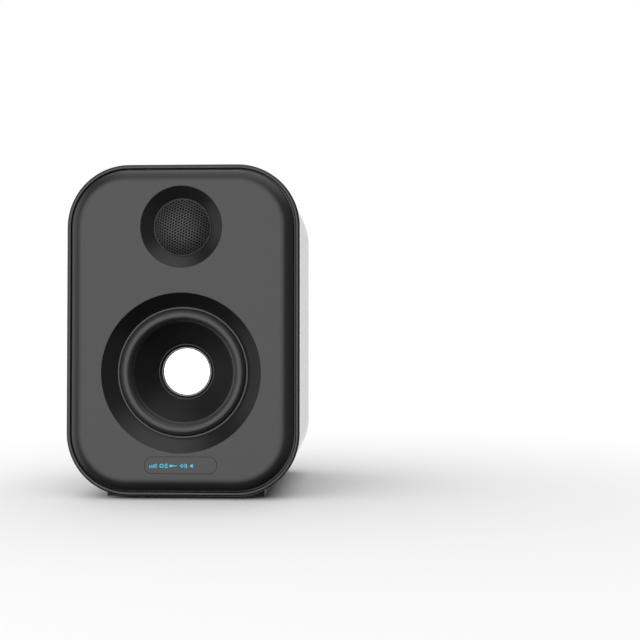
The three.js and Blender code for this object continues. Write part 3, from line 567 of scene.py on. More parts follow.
# white behind the object; its gloss reflects a broad front panel, a pale rear and darker sides
def lightStudio():
    world = bpy.context.scene.world or bpy.data.worlds.new("studio")
    bpy.context.scene.world = world
    world.use_nodes = True
    world.cycles.sampling_method = "NONE"
    tree = world.node_tree
    tree.nodes.clear()
    way = addNode(tree, "ShaderNodeTexCoord").outputs["Generated"]
    x, y, z = addNode(tree, "ShaderNodeSeparateXYZ", [(0, way)]).outputs
    reach = 0
    for part, place, half in zip((x, z), studio["panelMiddle"], studio["panelHalf"]):
        off = combine(tree, combine(tree, part, place, "SUBTRACT"), half, "DIVIDE")
        reach = combine(tree, combine(tree, off, off, "MULTIPLY"), reach, "ADD")
    panel = combine(
        tree, ramp(tree, reach, 1.0, studio["panelReach"], studio["panel"], 0.0),
        ramp(tree, y, *studio["panelFade"], 1.0, 0.0), "MULTIPLY"
    )
    rear = ramp(tree, y, *studio["rearFade"], 0.0, studio["rear"])
    for part, fade in ((x, "rearAcross"), (z, "rearUp")):
        rear = combine(tree, rear, ramp(tree, part, *studio[fade], 1.0, studio["rearSides"]), "MULTIPLY")
    above = combine(
        tree, ramp(tree, z, *studio["aboveFade"], 0.0, studio["above"]),
        ramp(tree, x, *studio["aboveAcross"], studio["aboveLeft"], 1.0), "MULTIPLY"
    )
    glow = combine(tree, combine(tree, panel, rear, "MAXIMUM"), above, "MAXIMUM")
    for side in ("left", "right"):
        level = ramp(tree, x, *studio[side + "Fade"], 0.0, studio[side])
        glow = combine(tree, glow, level, "MAXIMUM")
    glow = combine(tree, glow, ramp(tree, z, *studio["belowFade"], 0.0, 1.0), "MULTIPLY")
    glow = combine(tree, glow, studio["base"], "ADD")
    gloss = addNode(tree, "ShaderNodeBackground", [("Strength", glow)])
    fill = addNode(tree, "ShaderNodeBackground", Strength=studio["ambient"])
    plain = addNode(tree, "ShaderNodeBackground")
    for background in (gloss, fill, plain):
        background.inputs["Color"].default_value = (1, 1, 1, 1)
    path = addNode(tree, "ShaderNodeLightPath").outputs
    back = mixShaders(tree, path["Is Glossy Ray"], fill, gloss)
    both = mixShaders(tree, path["Is Camera Ray"], back, plain)
    output = addNode(tree, "ShaderNodeOutputWorld")
    tree.links.new(both.outputs[0], output.inputs["Surface"])
    bpy.context.scene.view_settings.view_transform = "Standard"


# the floor is white to the camera, fades into the background, and gives no light back
def layFloor():
    bpy.ops.mesh.primitive_plane_add(size=studio["floorSize"], location=(0, 0, 0))
    floor = bpy.context.object
    floor.name = "floor"
    floor.visible_glossy = False
    material = bpy.data.materials.new("floorWhite")
    material.use_nodes = True
    tree = material.node_tree
    tree.nodes.clear()
    place = addNode(tree, "ShaderNodeTexCoord").outputs["Object"]
    off = addNode(tree, "ShaderNodeVectorMath", [(0, place)], operation="SUBTRACT")
    off.inputs[1].default_value = studio["floorMiddle"]
    far = addNode(tree, "ShaderNodeVectorMath", [(0, off.outputs[0])], operation="LENGTH")
    fade = ramp(tree, far.outputs["Value"], studio["nearFloor"], studio["farFloor"], 0.0, 1.0)
    paper = addNode(tree, "ShaderNodeBsdfDiffuse")
    paper.inputs["Color"].default_value = (*([studio["floorTone"]] * 3), 1)
    white = addNode(tree, "ShaderNodeEmission")
    lit = mixShaders(tree, fade, paper, white)
    dark = addNode(tree, "ShaderNodeBsdfDiffuse")
    dark.inputs["Color"].default_value = (*([studio["floorBack"]] * 3), 1)
    seen = addNode(tree, "ShaderNodeLightPath").outputs["Is Camera Ray"]
    both = mixShaders(tree, seen, dark, lit)
    output = addNode(tree, "ShaderNodeOutputMaterial")
    tree.links.new(both.outputs[0], output.inputs["Surface"])
    material.cycles.emission_sampling = "NONE"
    floor.data.materials.append(material)
    return floor


def addLamp(name, place, aim, size, power):
    bpy.ops.object.light_add(type="AREA", location=place)
    lamp = bpy.context.object
    lamp.name = name
    lamp.rotation_euler = (Vector(aim) - Vector(place)).to_track_quat("-Z", "Y").to_euler()
    lamp.data.size = size
    lamp.data.energy = power
    lamp.visible_glossy = False
    return lamp


# the great softbox overhead lights only the floor, and the lamps light all but the floor
def hangLamps(floor):
    place = studio["boxPlace"]
    softbox = addLamp("floorSoftbox", place, (*place[:2], 0), studio["boxSize"], studio["boxPower"])
    floorOnly = bpy.data.collections.new("floorOnly")
    floorOnly.objects.link(floor)
    softbox.light_linking.receiver_collection = floorOnly
    notFloor = bpy.data.collections.new("notFloor")
    notFloor.objects.link(floor)
    notFloor.collection_objects[0].light_linking.link_state = "EXCLUDE"
    for name, place, aim, size, power in lamps:
        addLamp(name, place, aim, size, power).light_linking.receiver_collection = notFloor


placeCamera()
lightStudio()
hangLamps(layFloor())
print("camera, lights and floor ready")


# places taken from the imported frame

rimLow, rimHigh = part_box("front_trim_frame")
baffleLow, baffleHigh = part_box("front_baffle")
shellLow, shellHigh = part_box("cabinet_shell")
panelLow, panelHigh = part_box("rear_panel")
rimY, faceY, backY = rimLow.y, baffleLow.y, shellHigh.y
woofer = middle("woofer_trim_ring")
tweeter = middle("tweeter_waveguide")
port = middle("reflex_port")

cabinetShape = {
    "corner": 45 * mm,
    "cornerSteps": 28,
    "shellInset": 0.5 * mm,
    "wall": 4 * mm,
    "rearInset": 31.5 * mm,
    "rearDepth": 32 * mm,
    "rearSteps": 18,
    "panelCorner": 5 * mm,
    "panelDepth": 2.6 * mm,
    "panelLedge": 6 * mm,
    "portFlange": 19.3 * mm,
    "portStep": 2.1 * mm,
    "portHole": 15.3 * mm,
    "gap": 0.3 * mm,
    "through": 10 * mm,
    "beyond": 5 * mm,
}


def cabinetShell():
    s = cabinetShape
    high = Vector((shellHigh.x, backY - s["rearDepth"], shellHigh.z))
    shell = roundedBlock(shellLow, high, s["corner"] - s["shellInset"], s["cornerSteps"])
    editFaces(shell, backFace(shell))
    roundOver(s["rearInset"], s["rearDepth"], s["rearSteps"])
    doneEditing()
    editFaces(shell, frontFace(shell))
    bpy.ops.mesh.delete(type="FACE")
    doneEditing()
    modify(shell, "SOLIDIFY", thickness=s["wall"], offset=-1, use_even_offset=True)
    end = backY + s["beyond"]
    cuts = [
        roundedBlock(
            Vector((panelLow.x - grow, backY - depth, panelLow.z - grow)),
            Vector((panelHigh.x + grow, end, panelHigh.z + grow)), corner, 8,
        )
        for grow, depth, corner in (
            (s["gap"], s["panelDepth"], s["panelCorner"] + s["gap"]),
            (-s["panelLedge"], s["through"], s["panelCorner"]),
        )
    ]
    cuts.append(rod(port, s["portFlange"], backY - s["portStep"], end, 96))
    cuts.append(rod(port, s["portHole"], backY - s["through"], end, 96))
    cutAway(shell, *cuts)
    return finishPiece(shell, "cabinetShell", "shell_black", ["cabinet_shell"])


rimShape = {
    "depth": 7 * mm,
    "fillet": 1.7 * mm,
    "filletSteps": 8,
    "land": 0.5 * mm,
    "innerFillet": 0.95 * mm,
    "groove": 2.6 * mm,
    "ledge": 5.35 * mm,
}


# a ring round the front: a rounded lip, a deep groove inside it and a ledge for the baffle
def frontRim():
    s = rimShape
    low = Vector((rimLow.x, rimY + s["fillet"], rimLow.z))
    high = Vector((rimHigh.x, rimY + s["depth"], rimHigh.z))
    rim = roundedBlock(low, high, cabinetShape["corner"], cabinetShape["cornerSteps"])
    editFaces(rim, frontFace(rim))
    roundOver(s["fillet"], s["fillet"], s["filletSteps"], s["land"])
    angles = [math.pi / 2 * i / s["filletSteps"] for i in range(s["filletSteps"] + 1)]
    for a0, a1 in zip(angles, angles[1:]):
        bpy.ops.mesh.inset(
            thickness=s["innerFillet"] * (math.sin(a1) - math.sin(a0)),
            depth=-s["innerFillet"] * (math.cos(a0) - math.cos(a1)),
        )
    bpy.ops.mesh.extrude_region_move(TRANSFORM_OT_translate={"value": (0, s["groove"], 0)})
    bpy.ops.mesh.inset(thickness=s["ledge"], depth=0)
    bpy.ops.mesh.delete(type="FACE")
    doneEditing()
    editFaces(rim, backFace(rim))
    bpy.ops.mesh.inset(thickness=s["fillet"] + s["land"] + s["innerFillet"] + s["ledge"], depth=0)
    bpy.ops.mesh.delete(type="FACE")
    bpy.ops.mesh.select_mode(type="EDGE")
    bpy.ops.mesh.select_all(action="DESELECT")
    bpy.ops.mesh.select_non_manifold()
    bpy.ops.mesh.bridge_edge_loops()
    doneEditing()
    return finishPiece(rim, "frontRim", "satin_black", ["front_trim_frame"])


baffleShape = {
    "inset": 4.15 * mm,
    "bullnose": 10.5 * mm,
    "steps": 18,
    "hollowInset": 4.65 * mm,
    "hollowDepth": 6.8 * mm,
    "wooferHole": (56.85, 57.5),
    "tweeterHole": (29.1, 29.75),
    "edge": 0.12,
    "skirt": 0.6,
    "windowCorner": 5.65 * mm,
    "windowGap": 0.12 * mm,
    "windowSeat": 2.2 * mm,
    "slotEnds": 2.5 * mm,
    "slotSides": 1 * mm,
    "holeDepth": 14,
}


def frontBaffle():
    s = baffleShape
    corner = cabinetShape["corner"] - s["inset"]
    low = Vector((baffleLow.x, rimY, baffleLow.z))
    baffle = roundedBlock(low, baffleHigh, corner, cabinetShape["cornerSteps"])
    editFaces(baffle, frontFace(baffle))
    roundOver(s["bullnose"], rimY - faceY, s["steps"])
    doneEditing()
    editFaces(baffle, backFace(baffle))
    bpy.ops.mesh.inset(thickness=s["hollowInset"], depth=-s["hollowDepth"])
    doneEditing()
    windowLow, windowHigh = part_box("display_window")
    grow = Vector((s["windowGap"], 0, s["windowGap"]))
    seat = roundedBlock(
        windowLow - grow - Vector((0, cabinetShape["beyond"], 0)),
        Vector((windowHigh.x, faceY + s["windowSeat"], windowHigh.z)) + grow, s["windowCorner"], 12,
    )
    guideLow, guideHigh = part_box("indicator_light_guide")
    slot = block(
        (guideLow.x + s["slotEnds"], faceY, guideLow.z + s["slotSides"]),
        (guideHigh.x - s["slotEnds"], 0, guideHigh.z - s["slotSides"]),
    )
    deep = s["holeDepth"]
    holes = []
    for centre, (front, behind) in ((woofer, s["wooferHole"]), (tweeter, s["tweeterHole"])):
        edge, skirt = s["edge"], s["skirt"]
        profile = [(0, -2), (front + edge + 2, -2), (front + edge, 0), (front, edge), (front, skirt)]
        profile += [(behind, skirt), (behind, deep), (0, deep)]
        holes.append(turn(centre, faceY, profile, 160, closed=False))
    cutAway(baffle, seat, slot, *holes)
    return finishPiece(baffle, "frontBaffle", "baffle_charcoal", ["front_baffle"])


def feet():
    for side in ("front", "rear"):
        node = f"foot_strip_{side}"
        foot = softenedCopy(node, 0.6 * mm, 3)
        finishPiece(foot, f"{side}Foot", "foot_rubber", [node])


cabinetShell()
frontRim()
frontBaffle()
feet()
print("cabinet built")


windowShape = {
    "corner": 5.5 * mm,
    "edge": 0.18 * mm,
    "stroke": 0.55 * mm,
    "markHeight": 2.9 * mm,
    "markThickness": 0.06 * mm,
    "markDrop": 0.35 * mm,
    "arrowPlace": 8.0 * mm,
}


def displayWindow():
    s = windowShape
    low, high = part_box("display_window")
    window = roundedBlock(Vector((low.x, faceY + s["edge"], low.z)), high, s["corner"], 12)
    editFaces(window, frontFace(window))
    bpy.ops.mesh.inset(thickness=s["edge"], depth=s["edge"])
    doneEditing()
    finishPiece(window, "displayWindow", "smoked_window", ["display_window"], angle=25)


# five plain source marks: level bars, a ring, a plug, a chip and an arrow
def sourceMarks():
    s = windowShape
    centre = middle("display_window") - Vector((0, 0, s["markDrop"]))
    y0 = faceY - s["markThickness"]
    y1 = faceY + s["markThickness"]
    half, stroke = s["markHeight"] / 2, s["stroke"]

    def bar(x0, z0, x1, z1):
        return block(
            (centre.x + x0 * mm, y0, centre.z + z0), (centre.x + x1 * mm, y1, centre.z + z1)
        )

    def ring(x, outer, inner, sides):
        piece = rod(centre + Vector((x * mm, 0, 0)), outer, y0, y1, sides)
        cutAway(piece, rod(centre + Vector((x * mm, 0, 0)), inner, y0 - 1 * mm, y1 + 1 * mm, sides))
        return piece

    marks = [bar(-22.2 + 1.5 * i, -half, -21.5 + 1.5 * i, half * (0.1 + 0.3 * i)) for i in range(4)]
    marks.append(ring(-13.4, half, half - stroke, 40))  # a ring beside three strokes
    marks.append(bar(-11.2, -half, -9.1, -half + stroke))
    marks.append(bar(-11.2, half - stroke, -9.1, half))
    marks.append(bar(-11.2, -stroke / 2, -9.1, stroke / 2))
    marks.append(bar(-7.9, -0.7 * mm, -5.4, 0.7 * mm))  # a plug and its lead
    marks.append(bar(-5.4, -stroke / 2, -2.5, stroke / 2))
    marks.append(ring(0.9, half, half - stroke * 1.2, 4))  # a chip beside two strokes
    marks += [bar(3.0 + 1.1 * i, -half, 3.5 + 1.1 * i, half) for i in range(2)]
    tip = centre + Vector((s["arrowPlace"], 0, 0))
    arrow = rod(tip, half * 1.15, y0, y1, 3)
    editAll(arrow)
    bpy.ops.transform.rotate(value=math.radians(90), orient_axis="Y", center_override=tip)
    doneEditing()
    marks.append(arrow)
    lit = joinAll(marks)
    finishPiece(lit, "sourceMarks", "lit_cyan")
    guide = softenedCopy("indicator_light_guide", 0.2 * mm)
    finishPiece(guide, "lightGuide", "lit_cyan", ["indicator_light_guide"])


displayWindow()
sourceMarks()
print("display built")


# from here on shapes are in millimetres, and depths count from the baffle's face
lip, tabFront, tabBack = 0.3, 4.3, 6.1

wooferShape = {
    "flareFront": 56.7,
    "opening": 47.0,
    "flareDepth": 8.4,
    "rim": 57.4,
    "tabRadius": 59.5,
    "ringBack": 11.0,
    "seatRadius": 49.6,
    "seatDepth": 9.7,
    "clampInner": 45.65,
    "surroundOuter": 45.3,
    "surroundInner": 37.0,
    "surroundFlange": 49.3,
    "flangeInner": 35.8,
    "flangeFront": 10.2,
    "flangeBack": 11.0,
    "rise": 4.2,
    "skin": 0.8,
    "coneTop": 36.0,
    "coneNeck": 13.2,
    "coneFront": 11.3,
    "coneDepth": 19.7,
    "coneSkin": 1.0,
    "coneEdge": 37.2,
    "coneSteps": 26,
    "beadRadius": 20.05,
    "capRadius": 18.35,
    "capDisc": 16.75,
    "capRim": 26.5,
    "capRise": 1.8,
}


# the outside of a flare: its front lip, its rim and the tab that holds it behind the baffle
def flareRim(s, back):
    flare, rim, tab = s["flareFront"], s["rim"], s["tabRadius"]
    profile = [(flare, lip), (flare + 0.1, lip + 0.4), (rim, lip + 0.4)]
    return profile + [(rim, tabFront), (tab, tabFront), (tab, tabBack), (rim, tabBack), (rim, back)]


# the cone that is seen, from the opening out to the lip
def flareSlope(s):
    opening, back = s["opening"], s["flareDepth"]
    width = s["flareFront"] - opening
    slope = [opening + width * i / 6 for i in range(1, 6)]
    return [(r, back - (r - opening) / width * (back - lip)) for r in slope]


def wooferFlare():
    s = wooferShape
    opening, seat, end = s["opening"], s["seatRadius"], s["ringBack"]
    profile = flareRim(s, end) + [(seat, end), (seat, s["seatDepth"]), (opening, s["seatDepth"])]
    profile += [(opening, s["flareDepth"])] + flareSlope(s)
    ring = turn(woofer, faceY, profile, 160)
    return finishPiece(ring, "wooferFlare", "flare_black", ["woofer_trim_ring"], angle=28)


# the bright flat ring at the foot of the flare, which clamps the surround
def clampRing():
    s = wooferShape
    outer, inner, front = s["opening"] - 0.05, s["clampInner"], s["flareDepth"] - 0.1
    profile = [(outer, front + 0.15), (outer, 9.6), (inner + 0.1, 9.6), (inner, 9.3)]
    profile += [(inner, front + 0.2), (inner + 0.2, front), (outer - 0.15, front)]
    ring = turn(woofer, faceY, profile, 160)
    return finishPiece(ring, "clampRing", "baffle_charcoal", angle=28)


# a half-roll of rubber: its outer flange stays with the basket, its inner one moves with the cone
def wooferSurround():
    s = wooferShape
    centre = (s["surroundOuter"] + s["surroundInner"]) / 2
    half = (s["surroundOuter"] - s["surroundInner"]) / 2
    skin = s["skin"]
    profile = [(s["surroundFlange"], s["flangeFront"]), (s["surroundFlange"], s["flangeBack"])]
    profile += [(s["surroundOuter"] + 0.2, s["flangeBack"])]
    profile += arc(centre, s["flangeBack"], half - skin / 2, s["rise"] - skin, 0, -180, 20)
    inner = s["flangeInner"]
    profile += [(inner, s["flangeBack"]), (inner, s["flangeBack"] - 0.2)]
    profile += [(inner + 0.3, s["flangeFront"] + 0.35)]
    profile += arc(centre, s["flangeFront"], half + skin / 2, s["rise"], -180, 0, 24)
    roll = turn(woofer, faceY, profile, 144)
    finishPiece(roll, "wooferSurround", "surround_rubber", ["woofer_surround"], ride=False)
    stretchRound(roll, woofer, "woofer_cone_assembly", s["surroundOuter"], s["surroundInner"])


# a ring that stretches between a fixed outer edge and a moving inner one
def stretchRound(piece, centre, body, outer, inner):
    start = centre + Vector((0, 10 * mm, 0))
    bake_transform(piece, "cabinet", body, start=start, end=centre)
    weights = piece.data.attributes["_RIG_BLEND"].data
    for corner, weight in zip(piece.data.vertices, weights):
        r = math.hypot(corner.co.x - centre.x, corner.co.z - centre.z) / mm
        t = min(1, max(0, (outer - r) / (outer - inner)))
        weight.value = t * t * (3 - 2 * t)


def coneY(r):
    s = wooferShape
    share = max(0, (r - s["coneNeck"]) / (s["coneTop"] - s["coneNeck"]))
    return s["coneFront"] + s["coneDepth"] * (1 - share**1.04)


def wooferCone():
    s = wooferShape
    count = s["coneSteps"]
    radii = [s["coneTop"] - (s["coneTop"] - s["coneNeck"]) * i / count for i in range(count + 1)]
    front = [(r, coneY(r)) for r in radii]
    back = [(r, coneY(r) + s["coneSkin"]) for r in reversed(radii)]
    edge = s["coneEdge"]
    profile = [(edge, s["coneFront"])] + front + back + [(edge, s["coneFront"] + s["coneSkin"])]
    cone = turn(woofer, faceY, profile, 128)
    finishPiece(cone, "wooferCone", "cone_pulp", ["woofer_cone"], body="woofer_cone_assembly")


# the glue ring that holds the cap to the cone
def capBead():
    r = wooferShape["beadRadius"]
    bead = turn(woofer, faceY, arc(r, coneY(r) - 0.05, 0.45, 0.4, 0, 350, 17), 96)
    finishPiece(bead, "capGlueBead", "surround_rubber", body="woofer_cone_assembly")


# a polished disc: a shallow dome whose edge turns down into a groove
def dustCap():
    s = wooferShape
    rim, disc = s["capRim"], s["capDisc"]
    profile = dome(disc, rim - 0.3, s["capRise"], 20)
    profile += [(disc + 0.12, rim - 0.1), (disc + 0.18, rim + 0.5), (s["capRadius"], rim + 0.5)]
    profile += [(s["capRadius"] - 0.05, rim + 0.8), (disc, rim + 0.9)]
    profile += list(reversed(dome(disc - 0.5, rim + 0.6, s["capRise"], 12)))
    cap = turn(woofer, faceY, profile, 128, closed=False)
    moving = "woofer_cone_assembly"
    finishPiece(cap, "dustCap", "polished_cap", ["woofer_dust_cap"], body=moving, angle=30)
    # a matt black ring laid on the groove's floor is painted shade, not a part of the cap
    profile = [(disc + 0.3, rim + 0.46), (disc + 0.3, rim + 0.2)]
    profile += [(s["capRadius"] - 0.05, rim + 0.2), (s["capRadius"], rim + 0.46)]
    groove = turn(woofer, faceY, profile, 128)
    finishPiece(groove, "capGrooveShade", "dome_silk", body=moving)
    edge = turn(woofer, faceY, arc(disc + 1.05, rim, 0.35, 0.4, 0, 345, 15), 128)
    finishPiece(edge, "capEdge", "cap_edge", body=moving, slot="polished_cap")


spiderShape = {
    "inner": 13.2,
    "flat": 32.7,
    "outer": 37.3,
    "seat": 33.1,
    "steps": 60,
    "waves": 5,
    "waveHeight": 0.55,
    "skin": 0.4,
}


# a corrugated disc of cloth whose waves die away at both edges
def wooferSpider():
    s = spiderShape
    inner, flat, outer = s["inner"], s["flat"], s["outer"]
    seat, skin, count = s["seat"], s["skin"], s["steps"]
    top = []
    for i in range(count + 1):
        fade = min(1, 6 * min(i, count - i) / count)
        swing = fade * s["waveHeight"] * math.sin(2 * math.pi * s["waves"] * i / count)
        top.append((inner + (flat - inner) * i / count, seat - skin + swing))
    bottom = [(r, depth + skin) for r, depth in reversed(top)]
    disc = turn(woofer, faceY, top + [(outer, seat - skin), (outer, seat)] + bottom, 72)
    finishPiece(disc, "wooferSpider", "spider_cloth", ["woofer_spider"], ride=False)
    stretchRound(disc, woofer, "woofer_cone_assembly", flat, inner)


wooferFlare()
clampRing()
wooferSurround()
wooferCone()
capBead()
dustCap()
wooferSpider()
print("woofer built")


tweeterShape = {
    "flareFront": 28.95,
    "opening": 20.9,
    "flareDepth": 5.2,
    "rim": 29.65,
    "tabRadius": 33.05,
    "hornBack": 7.2,
    "meshRadius": 20.45,
    "meshRim": 5.7,
    "meshRise": 5.2,
    "holePitch": 2.4,
    "rowPitch": 1.723,
    "holeWall": 0.29,
    "holeTilt": 30,
    "columns": 20,
    "rows": 14,
    "mergeGap": 0.01,
    "meshSkin": 0.3,
    "bandFlange": 24.0,
    "domeRadius": 12.7,
    "domeRim": 12.2,
    "coilEnd": 18.1,
    "well": 15.6,
    "surroundFront": 11.7,
}


def tweeterFlare():
    s = tweeterShape
    opening, end = s["opening"], s["hornBack"]
    profile = flareRim(s, end) + [(opening, end), (opening, s["flareDepth"])] + flareSlope(s)
    horn = turn(tweeter, faceY, profile, 128)
    finishPiece(horn, "tweeterFlare", "flare_black", ["tweeter_waveguide"], angle=28)


# a sheet of six-sided holes, laid flat by copies, trimmed round and pressed into a dome
def tweeterMesh():
    s = tweeterShape
    pitch, row, near = s["holePitch"] * mm, s["rowPitch"] * mm, s["mergeGap"] * mm
    bpy.ops.mesh.primitive_circle_add(
        vertices=6, radius=pitch / math.sqrt(3), fill_type="NGON", rotation=(math.pi / 2, 0, 0)
    )
    mesh = bpy.context.object
    applyPlace(mesh)
    editAll(mesh)
    bpy.ops.transform.rotate(value=math.radians(30), orient_axis="Y", center_override=(0, 0, 0))
    bpy.ops.transform.resize(value=(1, 1, row / (pitch * math.sqrt(3) / 2)), center_override=(0, 0, 0))
    bpy.ops.mesh.inset(thickness=s["holeWall"] * mm, depth=0)
    bpy.ops.mesh.delete(type="FACE")
    doneEditing()
    repeats = [(2, (pitch / 2, 0, row)), (s["columns"], (pitch, 0, 0)), (s["rows"], (0, 0, 2 * row))]
    for count, step in repeats:
        modify(
            mesh, "ARRAY", count=count, use_relative_offset=False, use_constant_offset=True,
            constant_offset_displace=step, use_merge_vertices=True, merge_threshold=near,
        )
    rim, rise = s["meshRadius"] * mm, s["meshRise"] * mm
    sphere = (rim**2 + rise**2) / (2 * rise)
    reach = sphere * math.asin(rim / sphere)
    editAll(mesh)
    bpy.ops.mesh.remove_doubles(threshold=near)
    bpy.ops.transform.translate(value=(-s["columns"] / 2 * pitch, 0, -s["rows"] * row))
    bpy.ops.transform.rotate(
        value=math.radians(s["holeTilt"]), orient_axis="Y", center_override=(0, 0, 0)
    )
    doneEditing()
    editFaces(mesh, lambda face: face.center.length > reach - 0.1 * mm)
    bpy.ops.mesh.delete(type="FACE")
    doneEditing()
    crest = faceY + (s["meshRim"] - s["meshRise"]) * mm
    for corner in mesh.data.vertices:
        aim = math.atan2(corner.co.z, corner.co.x)
        angle = corner.co.length / sphere
        r = sphere * math.sin(angle)
        corner.co = (
            tweeter.x + r * math.cos(aim),
            crest + sphere * (1 - math.cos(angle)),
            tweeter.z + r * math.sin(aim),
        )
    editAll(mesh)
    bpy.ops.mesh.normals_make_consistent(inside=False)
    doneEditing()
    modify(mesh, "SOLIDIFY", thickness=s["meshSkin"] * mm, offset=0)
    finishPiece(mesh, "tweeterMesh", "grille_mesh", ["tweeter_grille"])


# the folded band that holds the mesh in the flare
def meshBand():
    s = tweeterShape
    r, y, flange = s["meshRadius"], s["meshRim"], s["bandFlange"]
    profile = [(r - 0.55, y - 0.45), (r - 0.4, y - 0.6), (r + 0.1, y - 0.4), (r + 0.3, y)]
    profile += [(r + 0.3, y + 1.85), (flange, y + 1.85), (flange, y + 2.4)]
    profile += [(r - 0.55, y + 2.4), (r - 0.55, y + 0.3)]
    band = turn(tweeter, faceY, profile, 96)
    finishPiece(band, "tweeterMeshBand", "grille_mesh")


def tweeterDome():
    s = tweeterShape
    r, inner = s["domeRadius"], s["domeRadius"] - 0.4
    profile = dome(r, s["domeRim"], 5, 16) + [(r, s["coilEnd"]), (inner, s["coilEnd"])]
    profile += list(reversed(dome(inner, s["domeRim"] + 0.1, 4.7, 12)))
    piece = turn(tweeter, faceY, profile, 72, closed=False)
    finishPiece(piece, "tweeterDome", "dome_silk", ["tweeter_dome"], body="tweeter_diaphragm")


def tweeterSurround():
    s = tweeterShape
    well, inner, front = s["well"], s["domeRadius"] + 0.3, s["surroundFront"]
    half = (well - inner) / 2
    profile = [(well + 4.2, front), (well + 4.2, front + 0.4)]
    profile += arc(inner + half, front + 0.4, half - 0.4, 1.1, 0, -180, 10)
    profile += [(inner, front + 0.4)] + arc(inner + half, front, half, 1.2, -180, 0, 12)
    roll = turn(tweeter, faceY, profile, 72)
    finishPiece(roll, "tweeterSurround", "dome_silk", ["tweeter_surround"], ride=False)
    stretchRound(roll, tweeter, "tweeter_diaphragm", well, inner)


tweeterFlare()
tweeterMesh()
meshBand()
tweeterDome()
tweeterSurround()
print("tweeter built")


def rearPanel():
    panel = softenedCopy("rear_panel", 0.25 * mm)
    finishPiece(panel, "rearPanel", "panel_black", ["rear_panel"])


portShape = {"bore": 13.0, "wall": 2.0, "mouth": 17.0, "flange": 19.0, "length": 88.0, "flare": 9.0}


def reflexPort():
    s = portShape
    y = s["length"]
    profile = [(s["bore"] + 0.4, 0), (s["bore"] + s["wall"], 0), (s["bore"] + s["wall"], y - 1.8)]
    profile += [(s["flange"], y - 1.8), (s["flange"], y - 0.3), (s["flange"] - 0.3, y)]
    profile += arc(s["mouth"], y - s["flare"], s["mouth"] - s["bore"], s["flare"], 90, 180, 18)
    profile += [(s["bore"], 0.4)]
    tube = turn(port, backY - s["length"] * mm, profile, 128)
    finishPiece(tube, "reflexPort", "satin_black", ["reflex_port"])


screwShape = {
    "head": 2.9,
    "headHeight": 1.9,
    "shank": 1.5,
    "threadPitch": 0.45,
    "threadDepth": 0.3,
    "cross": 0.7,
    "reach": 1.9,
    "sink": 1.1,
}


# a pan-head screw with a cross recess, driven in from the rear
def panScrew(node, name, finish):
    s = screwShape
    low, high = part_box(node)
    centre = (low + high) / 2
    length = (high.y - low.y) / mm
    shank, pitch, below = s["shank"], s["threadPitch"], s["headHeight"]
    profile = [(0, 0)] + arc(0, 1.4, s["head"], 1.4, -75, -10, 6)
    profile += [(s["head"], below), (shank, below)]
    for i in range(int((length - 3) / pitch)):
        profile.append((shank - (s["threadDepth"] if i % 2 else 0), 2.2 + pitch * i))
    profile += [(shank - 0.5, length), (0, length)]
    screw = turn(centre, 0, profile, 32, closed=False)
    cross = s["cross"] * mm / 2
    reach, sink = s["reach"] * mm, s["sink"] * mm
    slots = [
        block((centre.x - a, -1 * mm, centre.z - b), (centre.x + a, sink, centre.z + b))
        for a, b in ((cross, reach), (reach, cross))
    ]
    cutAway(screw, *slots)
    editAll(screw)
    bpy.ops.transform.rotate(value=math.pi, orient_axis="Z", center_override=(centre.x, 0, centre.z))
    bpy.ops.transform.translate(value=(0, high.y, 0))
    doneEditing()
    finishPiece(screw, name, finish, [node])


knobShape = {"flutes": 36, "fluteDepth": 0.35 * mm, "edge": 0.9, "rise": 10.8, "inset": 0.3}


# a turned knob: fluted side, dished end and a pointer groove
def knob(node, name, radius, body, stem):
    s = knobShape
    low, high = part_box(node)
    centre = (low + high) / 2
    base = high.y - s["rise"] * mm
    end, edge = s["rise"], s["edge"]
    side = radius - s["inset"]
    profile = [(0, 0), (side, 0), (radius, 0.3), (radius, 1.6), (side, 1.9), (side, end - 1.5)]
    profile += arc(side - edge, end - edge, edge, edge, 0, 90, 6)
    profile += [(radius - 2.6, end), (radius - 3.0, end - 0.25), (0, end - 0.45)]
    grip = turn(centre, base, profile, 2 * s["flutes"], closed=False)

    def onSide(face):
        out = math.hypot(face.center.x - centre.x, face.center.z - centre.z) / mm
        tall = face.center.y - base
        angle = math.degrees(math.atan2(face.center.z - centre.z, face.center.x - centre.x)) % 360
        strip = int(angle / (180 / s["flutes"]))
        upright = out > radius - 0.5 and abs(face.normal.y) < 0.1
        return upright and 2 * mm < tall < (end - 1.6) * mm and strip % 2 == 1

    editFaces(grip, onSide)
    bpy.ops.mesh.inset(thickness=0.08 * mm, depth=-s["fluteDepth"], use_individual=True)
    doneEditing()
    groove = block(
        (centre.x - 0.4 * mm, high.y - 0.7 * mm, centre.z + radius * 0.3 * mm),
        (centre.x + 0.4 * mm, high.y + 1 * mm, centre.z + (radius + 1) * mm), 0.1 * mm, 1,
    )
    cutAway(grip, groove)
    if stem:
        shaft = rod(centre, stem * mm, low.y, base + 1 * mm, 32)
        grip = joinAll([grip, shaft])
    finishPiece(grip, name, "knob_black", [node], body=body, angle=30)


